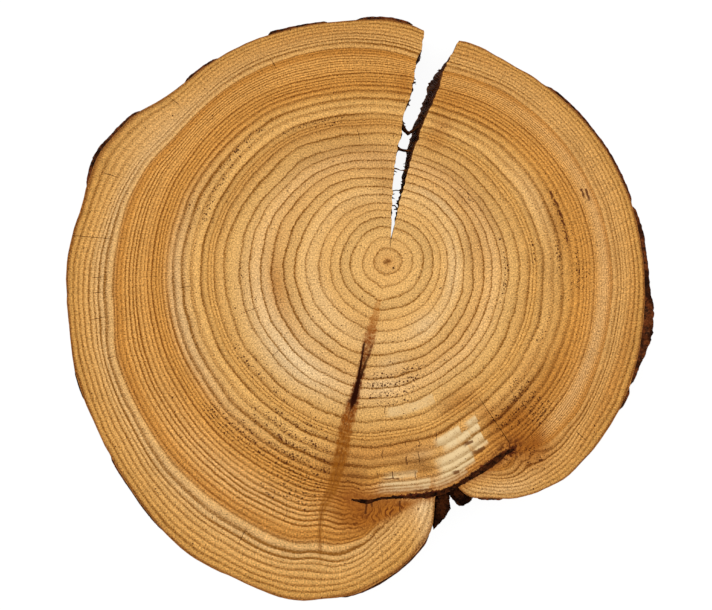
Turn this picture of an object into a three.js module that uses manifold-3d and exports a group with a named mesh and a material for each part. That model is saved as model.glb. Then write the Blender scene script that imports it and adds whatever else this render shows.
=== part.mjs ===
// A slice of larch trunk: one grown piece of wood with a drying check open to the pith, an old
// wound that two rolls of new wood have almost closed, the bark ingrown in that wound, and the
// thin plates and flakes of bark still on the rim. It lies flat, as a board or a stand.
// Units are millimetres, +Z is up, and the origin is under the middle of the slice.
// Plan positions are polar about the pith: a bearing in degrees, anticlockwise from +X, and a radius.
// Bearings run on from the left lip of the check, at 81, right round to its right lip, at 433.
import * as THREE from 'three';
import { mergeVertices } from 'three/addons/utils/BufferGeometryUtils.js';
import Module from 'manifold-3d';

const wasm = await Module();
wasm.setup();

// ---- driving dimensions ----
const THICKNESS = 30;
const GAP = 0.3; // between the wood and each piece of bark
const OVERRUN = 2; // how far a cutter runs past the faces that it cuts
const BARK_INSET = 0.2; // bark stops this far short of both sawn faces
const RIM_STEP = 2; // degrees between points of a smooth stretch of rim
const FINE_STEP = 0.6; // the same in the mouth of the wound

// The wood's edge: [bearing, radius].
const RIM = [
  [81, 96.4], [85, 98.2], [90, 99.5], [100, 100.4], [105, 101.6], [120, 106], [130, 109], [140, 111.9],
  [145, 115], [150, 120.5], [155, 123.8], [160, 126.8], [170, 127.8], [175, 130], [180, 131.6], [190, 133.2],
  [200, 136.2], [210, 137.7], [220, 140.5], [230, 143.8], [237, 145.2], [245, 144.2], [252, 144.6],
  [260, 140.2], [265, 136], [270, 129.4], [275, 121], [279, 112], [280, 107.5], [280.8, 102], [281.6, 97.3],
  [286.8, 96.2], [287.7, 98.6], [288.6, 100.8], [290.2, 103.2], [293, 105.2], [297.7, 109.6], [305, 113.4],
  [310, 114.7], [320, 113.7], [330, 112.2], [340, 109.5], [350, 107], [360, 104.8], [380, 101.8], [400, 98.6],
  [410, 96.8], [420, 95.7], [430, 96], [433, 95.6],
];
const MOUTH = [278, 294]; // bearings of the wound's mouth, where the rim turns sharply

// The face of the old wound, from the tip of one healed seam to the tip of the other.
const SCAR = [
  [261.5, 98.6], [265, 98.7], [268.5, 96.9], [274, 96.6], [279, 97], [282, 97.1], [286.6, 96.1],
  [291.7, 94.4], [297, 93.1], [301.6, 92.1], [304, 92.4],
];
const SEAM_WIDTH = 1.7; // the ingrown bark's thickness
const SEAM_TIP = 0.5; // the same at the ends of the seam
const SEAM_TAPER = 4; // degrees over which it thins out

// The check: [radius, bearing of the left lip, bearing of the right lip, lean of the right wall].
// The lean is how many degrees further across the gap that wall reaches at the lower face.
const CHECK_TIP = [80.6, 5.5]; // bearing and radius of its inner end
const CHECK = [
  [8.5, 82.6, 81.4, 0], [15, 84.6, 79.8, 0], [22, 86, 79.2, 0.3], [30, 86.4, 78.4, 1.2], [38, 86.2, 77.6, 2.2],
  [47, 85.2, 76.8, 3], [55, 84, 76, 3.6], [62, 84.1, 75.4, 3.2], [67, 82.6, 74.3, 3.2], [75, 82, 73.7, 3.4],
  [82, 82.1, 73.7, 2.2], [88, 81, 73, 0.6], [97, 81.2, 72.3, 0], [104, 81.2, 72, 0],
];

// Ligaments of wood left across the check: [radius, bearing of the middle, length, width, height, middle of the height].
const LIGAMENTS = [
  [56.5, 80.6, 10, 2.2, 9, 13],
  [47.6, 81.4, 9, 1.2, 7, 16],
  [23.2, 82.8, 4.2, 1.1, 6, 17],
];

// Bark on the rim: name, first and last bearing, and [bearing, thickness] of its outer face.
const BARK = {
  bark_plate_right: [333, 373, [[333, 0.9], [337, 1.9], [341, 3.6], [345, 4.8], [350, 4], [355, 2.4], [367, 2], [373, 0.9]]],
  bark_strip_upper_right: [373.6, 408, [[373.6, 0.9], [386, 1], [392, 0.8], [403, 1.1], [408, 0.8]]],
  bark_strip_crown: [84, 97.5, [[84, 0.8], [92, 1.3], [97.5, 0.8]]],
  bark_flake_upper: [104, 118, [[104, 0.8], [112, 0.9], [117, 1.2], [118, 0.9]]],
  bark_flake_upper_left: [130, 138.5, [[130, 0.8], [135, 1.1], [138.5, 0.8]]],
  bark_plate_left_shoulder: [148.5, 166, [[148.5, 0.8], [155, 1.5], [161, 1.8], [166, 0.8]]],
  bark_flake_left: [199, 204.5, [[199, 0.8], [202, 1], [204.5, 0.8]]],
  bark_strip_lower_left: [215, 230, [[215, 0.8], [217, 1.1], [222, 0.8], [226, 1], [230, 0.8]]],
  bark_strip_left_roll: [262, 278.4, [[262, 0.8], [270, 1], [276, 1.1], [278.4, 1]]],
  bark_strip_right_roll: [290.6, 296, [[290.6, 0.9], [293, 1.1], [296, 0.8]]],
  bark_flake_lower_right: [327.5, 332.4, [[327.5, 0.8], [331, 1.2], [332.4, 0.8]]],
};

// The two lumps of bark that stand out of the wound's mouth, as rings of [bearing, radius].
const LUMPS = [
  [[282, 96.6], [281.9, 102], [281.3, 107], [280.7, 111], [281.9, 109.2], [283, 106.6], [284.3, 104.8], [284.6, 100], [284.4, 96.4]],
  [[285.3, 96.2], [285.2, 100.4], [286.2, 104.4], [287.4, 104.9], [288.9, 104.2], [289.4, 102.9], [287.9, 101.2], [287.2, 98.6], [286.4, 95.9]],
];

const WOOD_COLOUR = 0xd9a664;
const BARK_COLOUR = 0x4a2415;

// ---- curves ----

// A smooth curve through [x, y] pairs that never overshoots them.
function through(points) {
  const last = points.length - 1;
  const width = (i) => points[i + 1][0] - points[i][0];
  const rise = (i) => (points[i + 1][1] - points[i][1]) / width(i);
  const slope = (i) => {
    if (i === 0) return rise(0);
    if (i === last) return rise(last - 1);
    const before = rise(i - 1);
    const after = rise(i);
    if (before * after <= 0) return 0;
    const near = 2 * width(i) + width(i - 1);
    const far = width(i) + 2 * width(i - 1);
    return (near + far) / (near / before + far / after);
  };
  return (x) => {
    let i = 0;
    while (i < last - 1 && x > points[i + 1][0]) i += 1;
    const t = THREE.MathUtils.clamp((x - points[i][0]) / width(i), 0, 1);
    const s = 1 - t;
    const ends = (1 + 2 * t) * s * s * points[i][1] + (3 - 2 * t) * t * t * points[i + 1][1];
    return ends + width(i) * (t * s * s * slope(i) - t * t * s * slope(i + 1));
  };
}

const rim = through(RIM);
const scar = through(SCAR);

function polar(bearing, radius) {
  const angle = THREE.MathUtils.degToRad(bearing);
  return new THREE.Vector2(radius * Math.cos(angle), radius * Math.sin(angle));
}

// Bearings from one to another, in equal steps of about the given size.
function bearings(from, to, step) {
  const count = Math.max(1, Math.round((to - from) / step));
  return Array.from({ length: count + 1 }, (_, i) => from + ((to - from) * i) / count);
}

// ---- solids ----

function toSolid(geometry) {
  const bare = geometry.clone();
  bare.deleteAttribute('normal');
  bare.deleteAttribute('uv');
  const merged = mergeVertices(bare, 1e-4);
  return new wasm.Manifold(
    new wasm.Mesh({
      numProp: 3,
      vertProperties: merged.attributes.position.array,
      triVerts: new Uint32Array(merged.index.array),
    }),
  );
}

function toGeometry(solid) {
  const { vertProperties, triVerts } = solid.getMesh();
  const geometry = new THREE.BufferGeometry();
  geometry.setAttribute('position', new THREE.BufferAttribute(new Float32Array(vertProperties), 3));
  geometry.setIndex(new THREE.BufferAttribute(new Uint32Array(triVerts), 1));
  geometry.computeVertexNormals();
  return geometry;
}

// An upright prism on a plan outline, from z = low to z = high.
function prism(outline, low, high) {
  const geometry = new THREE.ExtrudeGeometry(new THREE.Shape(outline), { depth: high - low, bevelEnabled: false });
  return geometry.translate(0, 0, low);
}

// The check's cutter, with its right wall leaning in towards the lower face.
function makeCheck() {
  const left = CHECK.map(([radius, bearing]) => polar(bearing, radius));
  const right = CHECK.map(([radius, , bearing]) => polar(bearing, radius));
  const leant = CHECK.map(([radius, , bearing, lean]) => polar(bearing + lean, radius));
  const outline = [polar(CHECK_TIP[0], CHECK_TIP[1]), ...right, ...left.reverse()];
  const geometry = prism(outline, -OVERRUN, THICKNESS + OVERRUN);
  const position = geometry.attributes.position;
  for (let i = 0; i < position.count; i += 1) {
    const at = new THREE.Vector2(position.getX(i), position.getY(i));
    const onRight = right.findIndex((point) => point.distanceTo(at) < 1e-3);
    if (onRight >= 0 && position.getZ(i) < 0) position.setXY(i, leant[onRight].x, leant[onRight].y);
  }
  return toSolid(geometry);
}

function ligament([radius, bearing, length, width, height, middle]) {
  const box = new THREE.BoxGeometry(width, length, height);
  const at = polar(bearing, radius);
  box.rotateZ(THREE.MathUtils.degToRad(bearing)).translate(at.x, at.y, middle);
  return toSolid(box);
}

// A band along the old wound's face, wider than the ingrown bark by a margin all round.
function seamBand(margin, low, high) {
  const [first, last] = [SCAR[0][0], SCAR[SCAR.length - 1][0]];
  const along = bearings(first, last, 1.2);
  const half = (bearing) => {
    const fromEnd = Math.min(bearing - first, last - bearing);
    const share = THREE.MathUtils.smoothstep(fromEnd, 0, SEAM_TAPER);
    return THREE.MathUtils.lerp(SEAM_TIP, SEAM_WIDTH, share) / 2 + margin;
  };
  const reach = margin / 1.7; // degrees that the margin takes at this radius
  const place = (bearing) => THREE.MathUtils.mapLinear(bearing, first, last, first - reach, last + reach);
  const outer = along.map((b) => polar(place(b), scar(b) + half(b)));
  const inner = along.map((b) => polar(place(b), scar(b) - half(b)));
  return toSolid(prism([...outer, ...inner.reverse()], low, high));
}

function makeWood() {
  const stops = [
    ...bearings(RIM[0][0], MOUTH[0], RIM_STEP),
    ...bearings(MOUTH[0], MOUTH[1], FINE_STEP).slice(1),
    ...bearings(MOUTH[1], RIM[RIM.length - 1][0], RIM_STEP).slice(1),
  ];
  const disc = toSolid(prism(stops.map((b) => polar(b, rim(b))), 0, THICKNESS));
  const open = disc.subtract(makeCheck()).subtract(seamBand(GAP, -OVERRUN, THICKNESS + OVERRUN));
  return LIGAMENTS.reduce((wood, sizes) => wood.add(ligament(sizes)), open);
}

// The bark shut into the wound as it healed, with its two lumps in the mouth.
function makeIngrownBark() {
  const [low, high] = [BARK_INSET, THICKNESS - BARK_INSET];
  return LUMPS.reduce(
    (bark, ring) => bark.add(toSolid(prism(ring.map(([b, r]) => polar(b, r)), low, high))),
    seamBand(0, low, high),
  );
}

function makeRimBark([from, to, profile]) {
  const thickness = through(profile);
  const along = bearings(from, to, RIM_STEP);
  const outer = along.map((b) => polar(b, rim(b) + GAP + thickness(b)));
  const inner = along.map((b) => polar(b, rim(b) + GAP));
  return toSolid(prism([...outer, ...inner.reverse()], BARK_INSET, THICKNESS - BARK_INSET));
}

// ---- the slice ----

const woodMaterial = new THREE.MeshStandardMaterial({ color: WOOD_COLOUR, roughness: 0.75, metalness: 0 });
const barkMaterial = new THREE.MeshStandardMaterial({ color: BARK_COLOUR, roughness: 0.95, metalness: 0 });

const pith = new THREE.Group(); // everything below is placed about the pith
function addPiece(name, solid, material) {
  const mesh = new THREE.Mesh(toGeometry(solid), material);
  mesh.name = name;
  pith.add(mesh);
}

addPiece('wood_disc', makeWood(), woodMaterial);
addPiece('ingrown_bark', makeIngrownBark(), barkMaterial);
for (const [name, shape] of Object.entries(BARK)) addPiece(name, makeRimBark(shape), barkMaterial);

// The origin goes under the middle of the whole slice.
const box = new THREE.Box3().setFromObject(pith);
const middle = box.getCenter(new THREE.Vector3());
pith.position.set(-middle.x, -middle.y, 0);

const slice = new THREE.Group();
slice.add(pith);
export default slice;
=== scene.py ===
"""A slice of larch trunk: the sawn disc of wood with its drying check and healed wound, the fibres
left across the check, the bark shut into the wound and the remnants of bark on the rim.

Shapes are worked out in millimetres about the pith. A place on the slice is a bearing, in degrees
anticlockwise from +X, and a radius. Bearings run on from the left lip of the check, at 81, right
round to its right lip, at 433. The growth rings are followed by a few guide rings, and a place
between two guides is given by its growth: the radius that it has at the bearing 210.
"""

import math

import bmesh
import bpy
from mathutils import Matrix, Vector, noise


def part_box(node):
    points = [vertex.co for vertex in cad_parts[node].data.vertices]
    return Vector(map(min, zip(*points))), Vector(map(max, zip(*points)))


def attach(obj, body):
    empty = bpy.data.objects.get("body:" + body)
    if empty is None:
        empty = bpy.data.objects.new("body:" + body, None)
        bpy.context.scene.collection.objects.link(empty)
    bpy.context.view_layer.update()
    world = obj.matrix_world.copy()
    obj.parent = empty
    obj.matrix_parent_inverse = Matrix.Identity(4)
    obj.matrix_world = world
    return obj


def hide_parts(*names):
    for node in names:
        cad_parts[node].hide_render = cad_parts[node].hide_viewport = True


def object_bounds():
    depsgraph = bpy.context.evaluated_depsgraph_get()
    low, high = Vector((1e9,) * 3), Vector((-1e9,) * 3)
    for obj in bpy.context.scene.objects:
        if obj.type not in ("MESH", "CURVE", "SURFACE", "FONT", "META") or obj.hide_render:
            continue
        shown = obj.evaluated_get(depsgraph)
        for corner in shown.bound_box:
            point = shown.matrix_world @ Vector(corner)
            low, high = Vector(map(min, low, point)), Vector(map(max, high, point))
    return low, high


bl_info = {
    "name": "Larch slice",
    "version": (1, 0, 0),
    "blender": (4, 5, 0),
    "location": "View3D > Sidebar > Larch slice",
    "description": "Builds a sawn slice of larch trunk with its growth rings, drying check, wound and bark",
    "category": "Add Mesh",
}

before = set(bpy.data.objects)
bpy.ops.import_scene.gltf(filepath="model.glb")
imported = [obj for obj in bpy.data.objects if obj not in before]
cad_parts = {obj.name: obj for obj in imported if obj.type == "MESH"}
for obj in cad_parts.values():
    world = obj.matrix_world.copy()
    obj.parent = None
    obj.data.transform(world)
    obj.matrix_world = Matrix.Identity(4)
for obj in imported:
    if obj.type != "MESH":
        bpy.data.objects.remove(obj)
cad_low, cad_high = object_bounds()

MM = 0.001
FULL_TURN = 360.0
LEFT_LIP, RIGHT_LIP = 81.0, 433.0  # where the bearings start and end
VIEW_MIDDLE = (-13.12, -17.63)  # what the camera is straight above, in mm from the pith

# ---- how the tree grew ----

# The width of each growth ring at the bearing 210, from the pith out.
RING_WIDTHS = (
    6, 4.5, 5, 4.3, 4.2, 4.4, 5.6, 4.8, 4.8, 5.3, 4.1, 4.5, 3.7, 6.6, 4.4, 1.2, 1.3, 3.1, 4.2, 4, 4, 2.7,
    1.8, 1.2, 1.3, 1.9, 2.3, 1.6, 2, 2.4, 1.5, 2.1, 2.1, 2.2, 2.4, 1.5, 3.7, 2.3, 1.5, 2.1, 2.3, 2.1, 2, 2.8,
)

# The guide rings: growth, then [bearing, radius] round the slice.
WOUND_GROWTH = 99
GUIDES = (
    (20, ((81, 18.5), (120, 19.3), (180, 20), (240, 20), (290, 19.6), (330, 19.2), (360, 18.9),
          (433, 18.5))),
    (39.6, ((81, 31.2), (100, 32.3), (120, 34.6), (140, 36.2), (160, 37.6), (180, 39), (210, 39.8),
            (240, 40), (265, 39), (290, 37.5), (320, 35), (350, 32.6), (380, 31.6), (433, 31))),
    (68, ((81, 52.8), (100, 54), (110, 56), (130, 60), (150, 63), (165, 65.6), (180, 67.6), (200, 68.3),
          (220, 68), (240, 67.2), (255, 67.4), (270, 65.6), (285, 63.2), (300, 60.4), (320, 58.5), (340, 56),
          (360, 54.2), (380, 52), (400, 50.6), (433, 49.6))),
    (99, ((81, 76.5), (90, 77.5), (110, 81), (120, 84), (130, 87), (150, 91.5), (165, 94.8), (180, 97),
          (200, 98.8), (220, 99.3), (250, 99.5), (261.5, 98.6), (265, 98.7), (268.5, 96.9), (274, 96.6),
          (279, 97), (282, 97.1), (286.6, 96.1), (291.7, 94.4), (297, 93.1), (301.6, 92.1), (304, 92.4),
          (310, 92), (320, 91), (335, 89), (350, 86), (370, 83.5), (390, 80.5), (410, 77.5), (433, 74.5))),
    (119, ((81, 84), (90, 86.5), (110, 91.5), (130, 96.5), (150, 101.6), (160, 107), (170, 110), (180, 112),
           (190, 114.2), (200, 117.8), (210, 119), (230, 121), (250, 121.4), (258, 119.5), (265, 113),
           (270, 107), (276, 100.8), (281, 98.9), (287, 96.6), (295, 95.6), (303, 94.9), (308, 97.5),
           (313, 99.2), (320, 99.3), (330, 96.8), (350, 93), (380, 89), (400, 86.5), (433, 81.6))),
    (130, ((81, 91.2), (90, 94), (110, 98.3), (130, 103.8), (140, 105), (150, 108.6), (160, 114.4),
           (170, 118.5), (180, 123.5), (190, 125.8), (210, 129.9), (230, 134.7), (240, 135.8), (250, 135.7),
           (260, 131.6), (265, 126.3), (270, 120), (276, 109.4), (281, 101), (287, 97.6), (295, 102.4),
           (303, 107.2), (313, 108.4), (320, 105.8), (340, 101.3), (360, 98.4), (400, 93.2), (433, 89.7))),
    (137.8, ((81, 96.4), (85, 98.2), (90, 99.5), (100, 100.4), (105, 101.6), (120, 106), (130, 109),
             (140, 111.9), (145, 115), (150, 120.5), (155, 123.8), (160, 126.8), (170, 127.8), (175, 130),
             (180, 131.6), (190, 133.2), (200, 136.2), (210, 137.7), (220, 140.5), (230, 143.8),
             (237, 145.2),
             (245, 144.2), (252, 144.6), (260, 140.2), (265, 136), (270, 129.4), (275, 121), (279, 112),
             (280, 107.5), (280.8, 102), (281.6, 97.3), (286.8, 96.2), (287.7, 98.6), (288.6, 100.8),
             (290.2, 103.2), (293, 105.2), (297.7, 109.6), (305, 113.4), (310, 114.7), (320, 113.7),
             (330, 112.2), (340, 109.5), (350, 107), (360, 104.8), (380, 101.8), (400, 98.6), (410, 96.8),
             (420, 95.7), (430, 96), (433, 95.6))),
)

# The check: [radius, bearing of the left lip, bearing of the right lip, lean of the right wall].
# The lean is how many degrees further across the gap that wall reaches at the lower face.
CHECK = (
    (5.5, 80.6, 80.6, 0), (8.5, 82.6, 81.4, 0), (15, 84.6, 79.8, 0), (22, 86, 79.2, 0.3),
    (30, 86.4, 78.4, 1.2), (38, 86.2, 77.6, 2.2), (47, 85.2, 76.8, 3), (55, 84, 76, 3.6),
    (62, 84.1, 75.4, 3.2), (67, 82.6, 74.3, 3.2), (75, 82, 73.7, 3.4), (82, 82.1, 73.7, 2.2),
    (88, 81, 73, 0.6), (97, 81.2, 72.3, 0), (104, 81.2, 72, 0),
)
CHECK_TIP = 5.5  # radius of its inner end
CHECK_REACH = 34.0  # degrees over which the wood beside the check follows its lips

# The old wound: the bearings of its two healed seams' tips and of its mouth.
WOUND = (261.5, 304.0)
MOUTH = (281.6, 286.8)
# Half the thickness of the bark shut into the wound: [bearing, mm].
SEAM = (
    (261.5, 0.25), (263, 0.8), (265.5, 0.95), (268, 0.55), (274, 0.5), (279, 0.6), (281.6, 1),
    (286.8, 0.8), (290, 0.8), (294, 1.2), (299, 1.3), (301.4, 0.55), (303, 0.8), (304, 0.3),
)

# The stained split that runs out from the pith: [radius, bearing].
SPLIT = (
    (15, 256.6), (35, 256.4), (50, 256.1), (58, 256), (68.6, 255.6), (76.4, 256.2), (86, 256.4),
    (98.6, 255.9),
    (104, 255.1), (111, 255.5), (124, 257), (130, 257.4),
)

# Hairline checks that show on both faces: [bearing, inner radius, outer radius].
HAIRLINES = (
    (175.2, 115, 131), (162.6, 116, 122), (143, 107, 111), (183, 117, 121.5), (186, 118, 122),
    (191, 118.5, 124), (199, 118, 121), (242, 124, 130.5), (248, 110, 114), (219, 57.5, 61),
    (199.3, 57, 61.5), (279, 79, 84), (102, 52, 56), (318, 104, 109), (187, 82, 86),
    (303.9, 68, 89), (120, 92, 96),
)
HAIRLINE_HALF = 0.14  # half width of a hairline, in mm


def through(points):
    """Returns a smooth curve through (x, y) pairs that never overshoots them."""
    last = len(points) - 1
    widths = [points[i + 1][0] - points[i][0] for i in range(last)]
    rises = [(points[i + 1][1] - points[i][1]) / widths[i] for i in range(last)]
    slopes = [rises[0]]
    for before, after, left, right in zip(rises, rises[1:], widths, widths[1:]):
        if before * after <= 0:
            slopes.append(0.0)
            continue
        near, far = 2 * right + left, right + 2 * left
        slopes.append((near + far) / (near / before + far / after))
    slopes.append(rises[-1])

    def curve(x):
        i = 0
        while i < last - 1 and x > points[i + 1][0]:
            i += 1
        t = min(1.0, max(0.0, (x - points[i][0]) / widths[i]))
        s = 1 - t
        ends = (1 + 2 * t) * s * s * points[i][1] + (3 - 2 * t) * t * t * points[i + 1][1]
        return ends + widths[i] * (t * s * s * slopes[i] - t * t * s * slopes[i + 1])

    return curve


def blend(x, start, end):
    """A smooth step from 0 at start to 1 at end."""
    t = min(1.0, max(0.0, (x - start) / (end - start)))
    return t * t * (3 - 2 * t)


def bump(x, middle, half):
    """A bell round middle that is 1 there and about a third at half away from it."""
    return math.exp(-(((x - middle) / half) ** 2))


def between(x, xs, ys):
    """Straight-line interpolation."""
    for i in range(len(xs) - 1):
        if x <= xs[i + 1]:
            t = (x - xs[i]) / (xs[i + 1] - xs[i])
            return ys[i] + (ys[i + 1] - ys[i]) * t
    return ys[-1]


def grain(x, y, z):
    """Smooth noise from about -1 to 1."""
    return noise.noise(Vector((x, y, z)))


GUIDE_GROWTH = (0,) + tuple(growth for growth, _ in GUIDES)
GUIDE_CURVES = tuple(through(points) for _, points in GUIDES)
rim = GUIDE_CURVES[-1]
wound = GUIDE_CURVES[GUIDE_GROWTH.index(WOUND_GROWTH) - 1]
left_lip = through([(radius, left) for radius, left, _, _ in CHECK])
right_lip = through([(radius, right + FULL_TURN) for radius, _, right, _ in CHECK])
lean = through([(radius, degrees) for radius, _, _, degrees in CHECK])
seam = through(SEAM)
split = through(SPLIT)

RING_EDGES = tuple(sum(RING_WIDTHS[:i]) for i in range(len(RING_WIDTHS) + 1))
RIM_GROWTH = GUIDE_GROWTH[-1]


def year_of(growth):
    """The number of rings inside a growth."""
    return between(growth, RING_EDGES, range(len(RING_EDGES)))


def seam_half(bearing):
    """Half the thickness of the bark shut into the wound."""
    if not WOUND[0] < bearing < WOUND[1]:
        return 0
    return seam(bearing) * (0.9 + 0.35 * grain(bearing * 0.9, 7, 3))


def sway(bearing, growth):
    """How far the rings bend out beside the split near the pith, and in where it nears the rim."""
    outward = 0.9 * bump(bearing, 257, 9) * bump(growth, 13, 6) * blend(growth, 0, 5)
    inward = 2.2 * bump(bearing, 256, 3.6) * blend(growth, 92, 106) * (1 - blend(growth, 125, 134))
    return outward - inward


class Column:
    """The guide radii at one bearing, and the radius of any growth there."""

    def __init__(self, bearing):
        self.bearing = bearing
        self.radii = [0.0] + [curve(bearing) for curve in GUIDE_CURVES]
        self.wound = wound(bearing)
        self.half = seam_half(bearing)

    def radius(self, growth, outer_side=False):
        plain = between(growth, GUIDE_GROWTH, self.radii) + sway(self.bearing, growth)
        if not self.half:
            return plain
        if growth < WOUND_GROWTH or not outer_side:
            return min(plain, self.wound - self.half)
        start = self.wound + self.half
        share = (plain - self.wound) / max(0.1, self.radii[-1] - self.wound)
        return start + max(0.0, share) * max(0.0, self.radii[-1] - start)


def pith_place():
    """Where the pith stands: the rim's outline is centred on the CAD disc's box."""
    corners = [Vector(around(bearing, rim(bearing))) for bearing in range(81, 434)]
    low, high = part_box("wood_disc")
    middle = (low + high) / 2 / MM
    x = (min(c.x for c in corners) + max(c.x for c in corners)) / 2
    y = (min(c.y for c in corners) + max(c.y for c in corners)) / 2
    return Vector((middle.x - x, middle.y - y, 0))


def around(bearing, radius, height=0.0):
    """A place about the pith as x, y and z."""
    angle = math.radians(bearing)
    return (radius * math.cos(angle), radius * math.sin(angle), height)


PITH = pith_place()
THICKNESS = (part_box("wood_disc")[1].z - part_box("wood_disc")[0].z) / MM


# ---- meshes ----

SHARPEST_SMOOTH = math.radians(38)  # edges that turn more than this stay sharp


def finish_mesh(bm, name, materials, nodes=(), turned_out=False):
    """Makes a piece of a bmesh in millimetres about the pith, gives it its place, body and materials, and
    hides the CAD parts that it stands in for.

    Faces are turned outwards unless the bmesh comes with them turned out.
    """
    bmesh.ops.translate(bm, verts=bm.verts, vec=PITH)
    bmesh.ops.scale(bm, verts=bm.verts, vec=(MM, MM, MM))
    if not turned_out:
        bmesh.ops.recalc_face_normals(bm, faces=bm.faces)
    mesh = bpy.data.meshes.new(name)
    bm.to_mesh(mesh)
    bm.free()
    for material in materials:
        mesh.materials.append(material)
    mesh.polygons.foreach_set("use_smooth", [True] * len(mesh.polygons))
    mesh.set_sharp_from_angle(angle=SHARPEST_SMOOTH)
    piece = bpy.data.objects.new(name, mesh)
    bpy.context.scene.collection.objects.link(piece)
    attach(piece, "root")
    if nodes:
        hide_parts(*nodes)
    return piece


def slab_of_cells(across, up, cuts, keep=None):
    """A slab one cell thick, made of a grid of cells and extruded, with its edges cut through its height.

    Each vertex says which column and row it is in, and its level from 0 below to 1 above. Cells that
    keep refuses are left out, and their holes are walled.
    """
    bm = bmesh.new()
    bmesh.ops.create_grid(bm, x_segments=across, y_segments=up, size=0.5)
    column = bm.verts.layers.float.new("column")
    row = bm.verts.layers.float.new("row")
    level = bm.verts.layers.float.new("level")
    for vert in bm.verts:
        vert[column] = round((vert.co.x + 0.5) * across)
        vert[row] = round((vert.co.y + 0.5) * up)
    if keep:
        refused = [
            f for f in bm.faces if not keep(min(v[column] for v in f.verts), min(v[row] for v in f.verts))]
        bmesh.ops.delete(bm, geom=refused, context="FACES")
    made = bmesh.ops.extrude_face_region(bm, geom=bm.faces[:])
    for item in made["geom"]:
        if isinstance(item, bmesh.types.BMVert):
            item[level] = 1.0
            item.co.z += 1.0
    upright = [e for e in bm.edges if abs(e.verts[0][level] - e.verts[1][level]) > 0.5]
    if cuts:
        bmesh.ops.subdivide_edges(bm, edges=upright, cuts=cuts, use_grid_fill=True)
    return bm, column, row, level


# ---- the wood ----

COLUMN_STEP = 1.5  # degrees between the grid's columns where nothing is finer
FINE_STRETCHES = (  # [first bearing, last bearing, step]
    (81, 84, 0.5), (252.6, 259.4, 0.34), (260.5, 266, 0.6), (277.4, 292, 0.35), (300.5, 305.5, 0.6),
    (430, 433, 0.5),
)
WIDE_RING = 3.0  # a ring wider than this takes three rows of cells, and a narrower one two
SIDE_CUTS = 13
SIDE_ARRIS = 0.014  # share of the thickness that the outermost cells of the side take
ARRIS_INSET = 0.25  # how far the sawn edges are worn back

# Where the wood is paler, warmer or browner.
# Each patch: [bearing, growth, half the bearings, half the growth, strength].
PALE = (
    (228, 56, 20, 8, 0.9), (200, 54, 22, 8, 0.35), (268, 52, 9, 5, 0.5), (300, 32, 12, 5, 0.5),
    (350, 32, 28, 4, 0.4), (215, 31, 30, 4, 0.3), (222, 40, 16, 4, 0.4), (235, 122, 30, 3, 0.4),
    (170, 123, 40, 4, 0.4), (408, 41, 25, 3, 0.45), (384, 82, 16, 4, 0.3), (330, 105, 22, 6, 0.3),
    (272, 43, 8, 3, 0.4), (195, 87, 36, 4, 0.45), (235, 108, 20, 6, 0.25), (278.5, 121, 2.6, 18, 0.75),
    (296, 131, 8, 5, 0.4), (365, 111, 46, 8, 0.3), (150, 129, 10, 6, 0.2), (280, 83, 4, 2, 0.4),
    (272, 94, 6, 2, 0.7), (284, 94, 4, 2, 0.7), (288.5, 90, 4, 3.5, 0.8), (193, 90, 30, 3, 0.3),
)
WARM = (
    (192, 46.5, 15, 3.2, 0.8), (105, 73, 32, 5, 0.55), (105, 92, 34, 4, 0.45), (262, 104, 6, 9, 0.9),
    (268, 106, 5, 5, 0.7), (307, 106, 4, 12, 1), (297, 71, 6, 4.5, 0.8), (303, 86, 3, 9, 0.9),
    (322, 90, 14, 6, 0.75), (322, 80, 10, 4, 0.35), (371, 87, 10, 3, 0.5), (335, 132, 22, 3, 0.7),
    (105, 131, 22, 4, 0.35), (425, 119, 14, 3, 0.45), (258, 94, 6, 12, 0.6), (105, 116, 30, 4, 0.25),
    (429, 131, 8, 4, 0.4), (288, 79, 12, 3, 0.35), (425, 95, 14, 4, 0.4), (428, 88, 4, 12, 0.4),
    (426, 72, 5, 6, 0.6), (84, 96, 2.5, 9, 0.7), (299, 102, 4, 4, 0.9), (310, 100, 4, 11, 1),
    (308, 90, 3, 8, 0.8), (266, 101, 5, 3, 0.9), (292, 100, 3, 1.5, 0.5), (268, 79, 16, 5, 0.8),
    (254, 88, 10, 5, 0.45), (265, 110, 7, 7, 0.7), (304, 121, 12, 6, 0.7), (360, 90, 50, 12, 0.25),
    (370, 122, 50, 9, 0.3), (105, 60, 26, 8, 0.25), (410, 60, 34, 9, 0.3), (325, 118, 10, 12, 0.4),
    (95, 118, 12, 8, 0.2),
)
BROWN = (
    (100, 58, 18, 7, 0.45), (128, 60, 20, 5, 0.3), (395, 58, 34, 5, 0.4), (370, 47, 20, 5, 0.3),
    (262, 89.3, 3.5, 3, 0.7), (260, 90, 5, 5, 0.3), (292, 70, 4, 3, 0.5), (400, 52, 6, 2, 0.6),
    (365, 42, 14, 2, 0.35), (255, 80, 4, 14, 0.35), (87, 40, 9, 16, 0.5), (125, 28, 30, 7, 0.25),
    (248, 28, 10, 6, 0.3), (145, 73, 36, 4, 0.35), (276.5, 87, 3.5, 2.5, 1.1),
    (280.5, 87.7, 2.2, 3.5, 0.9), (355, 79, 12, 3, 0.45), (120, 128, 34, 5, 0.4), (417, 130, 12, 4, 0.3),
)
# Where the healed wood is stained rusty.
RUSTY = (
    (308, 112, 4, 10, 1), (305, 98, 2.5, 4, 0.7), (297, 110, 6, 9, 0.5), (268, 108, 6, 4, 0.9),
    (272.5, 110, 3.5, 6, 0.9), (264, 103, 3, 4, 0.7), (259, 98, 5, 8, 0.35), (312, 90, 6, 6, 0.4),
    (270, 83, 12, 3, 0.25), (301, 92, 3, 3, 0.3), (275.5, 118, 1.5, 6, 0.4), (426, 80, 3, 5, 0.35),
)

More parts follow.
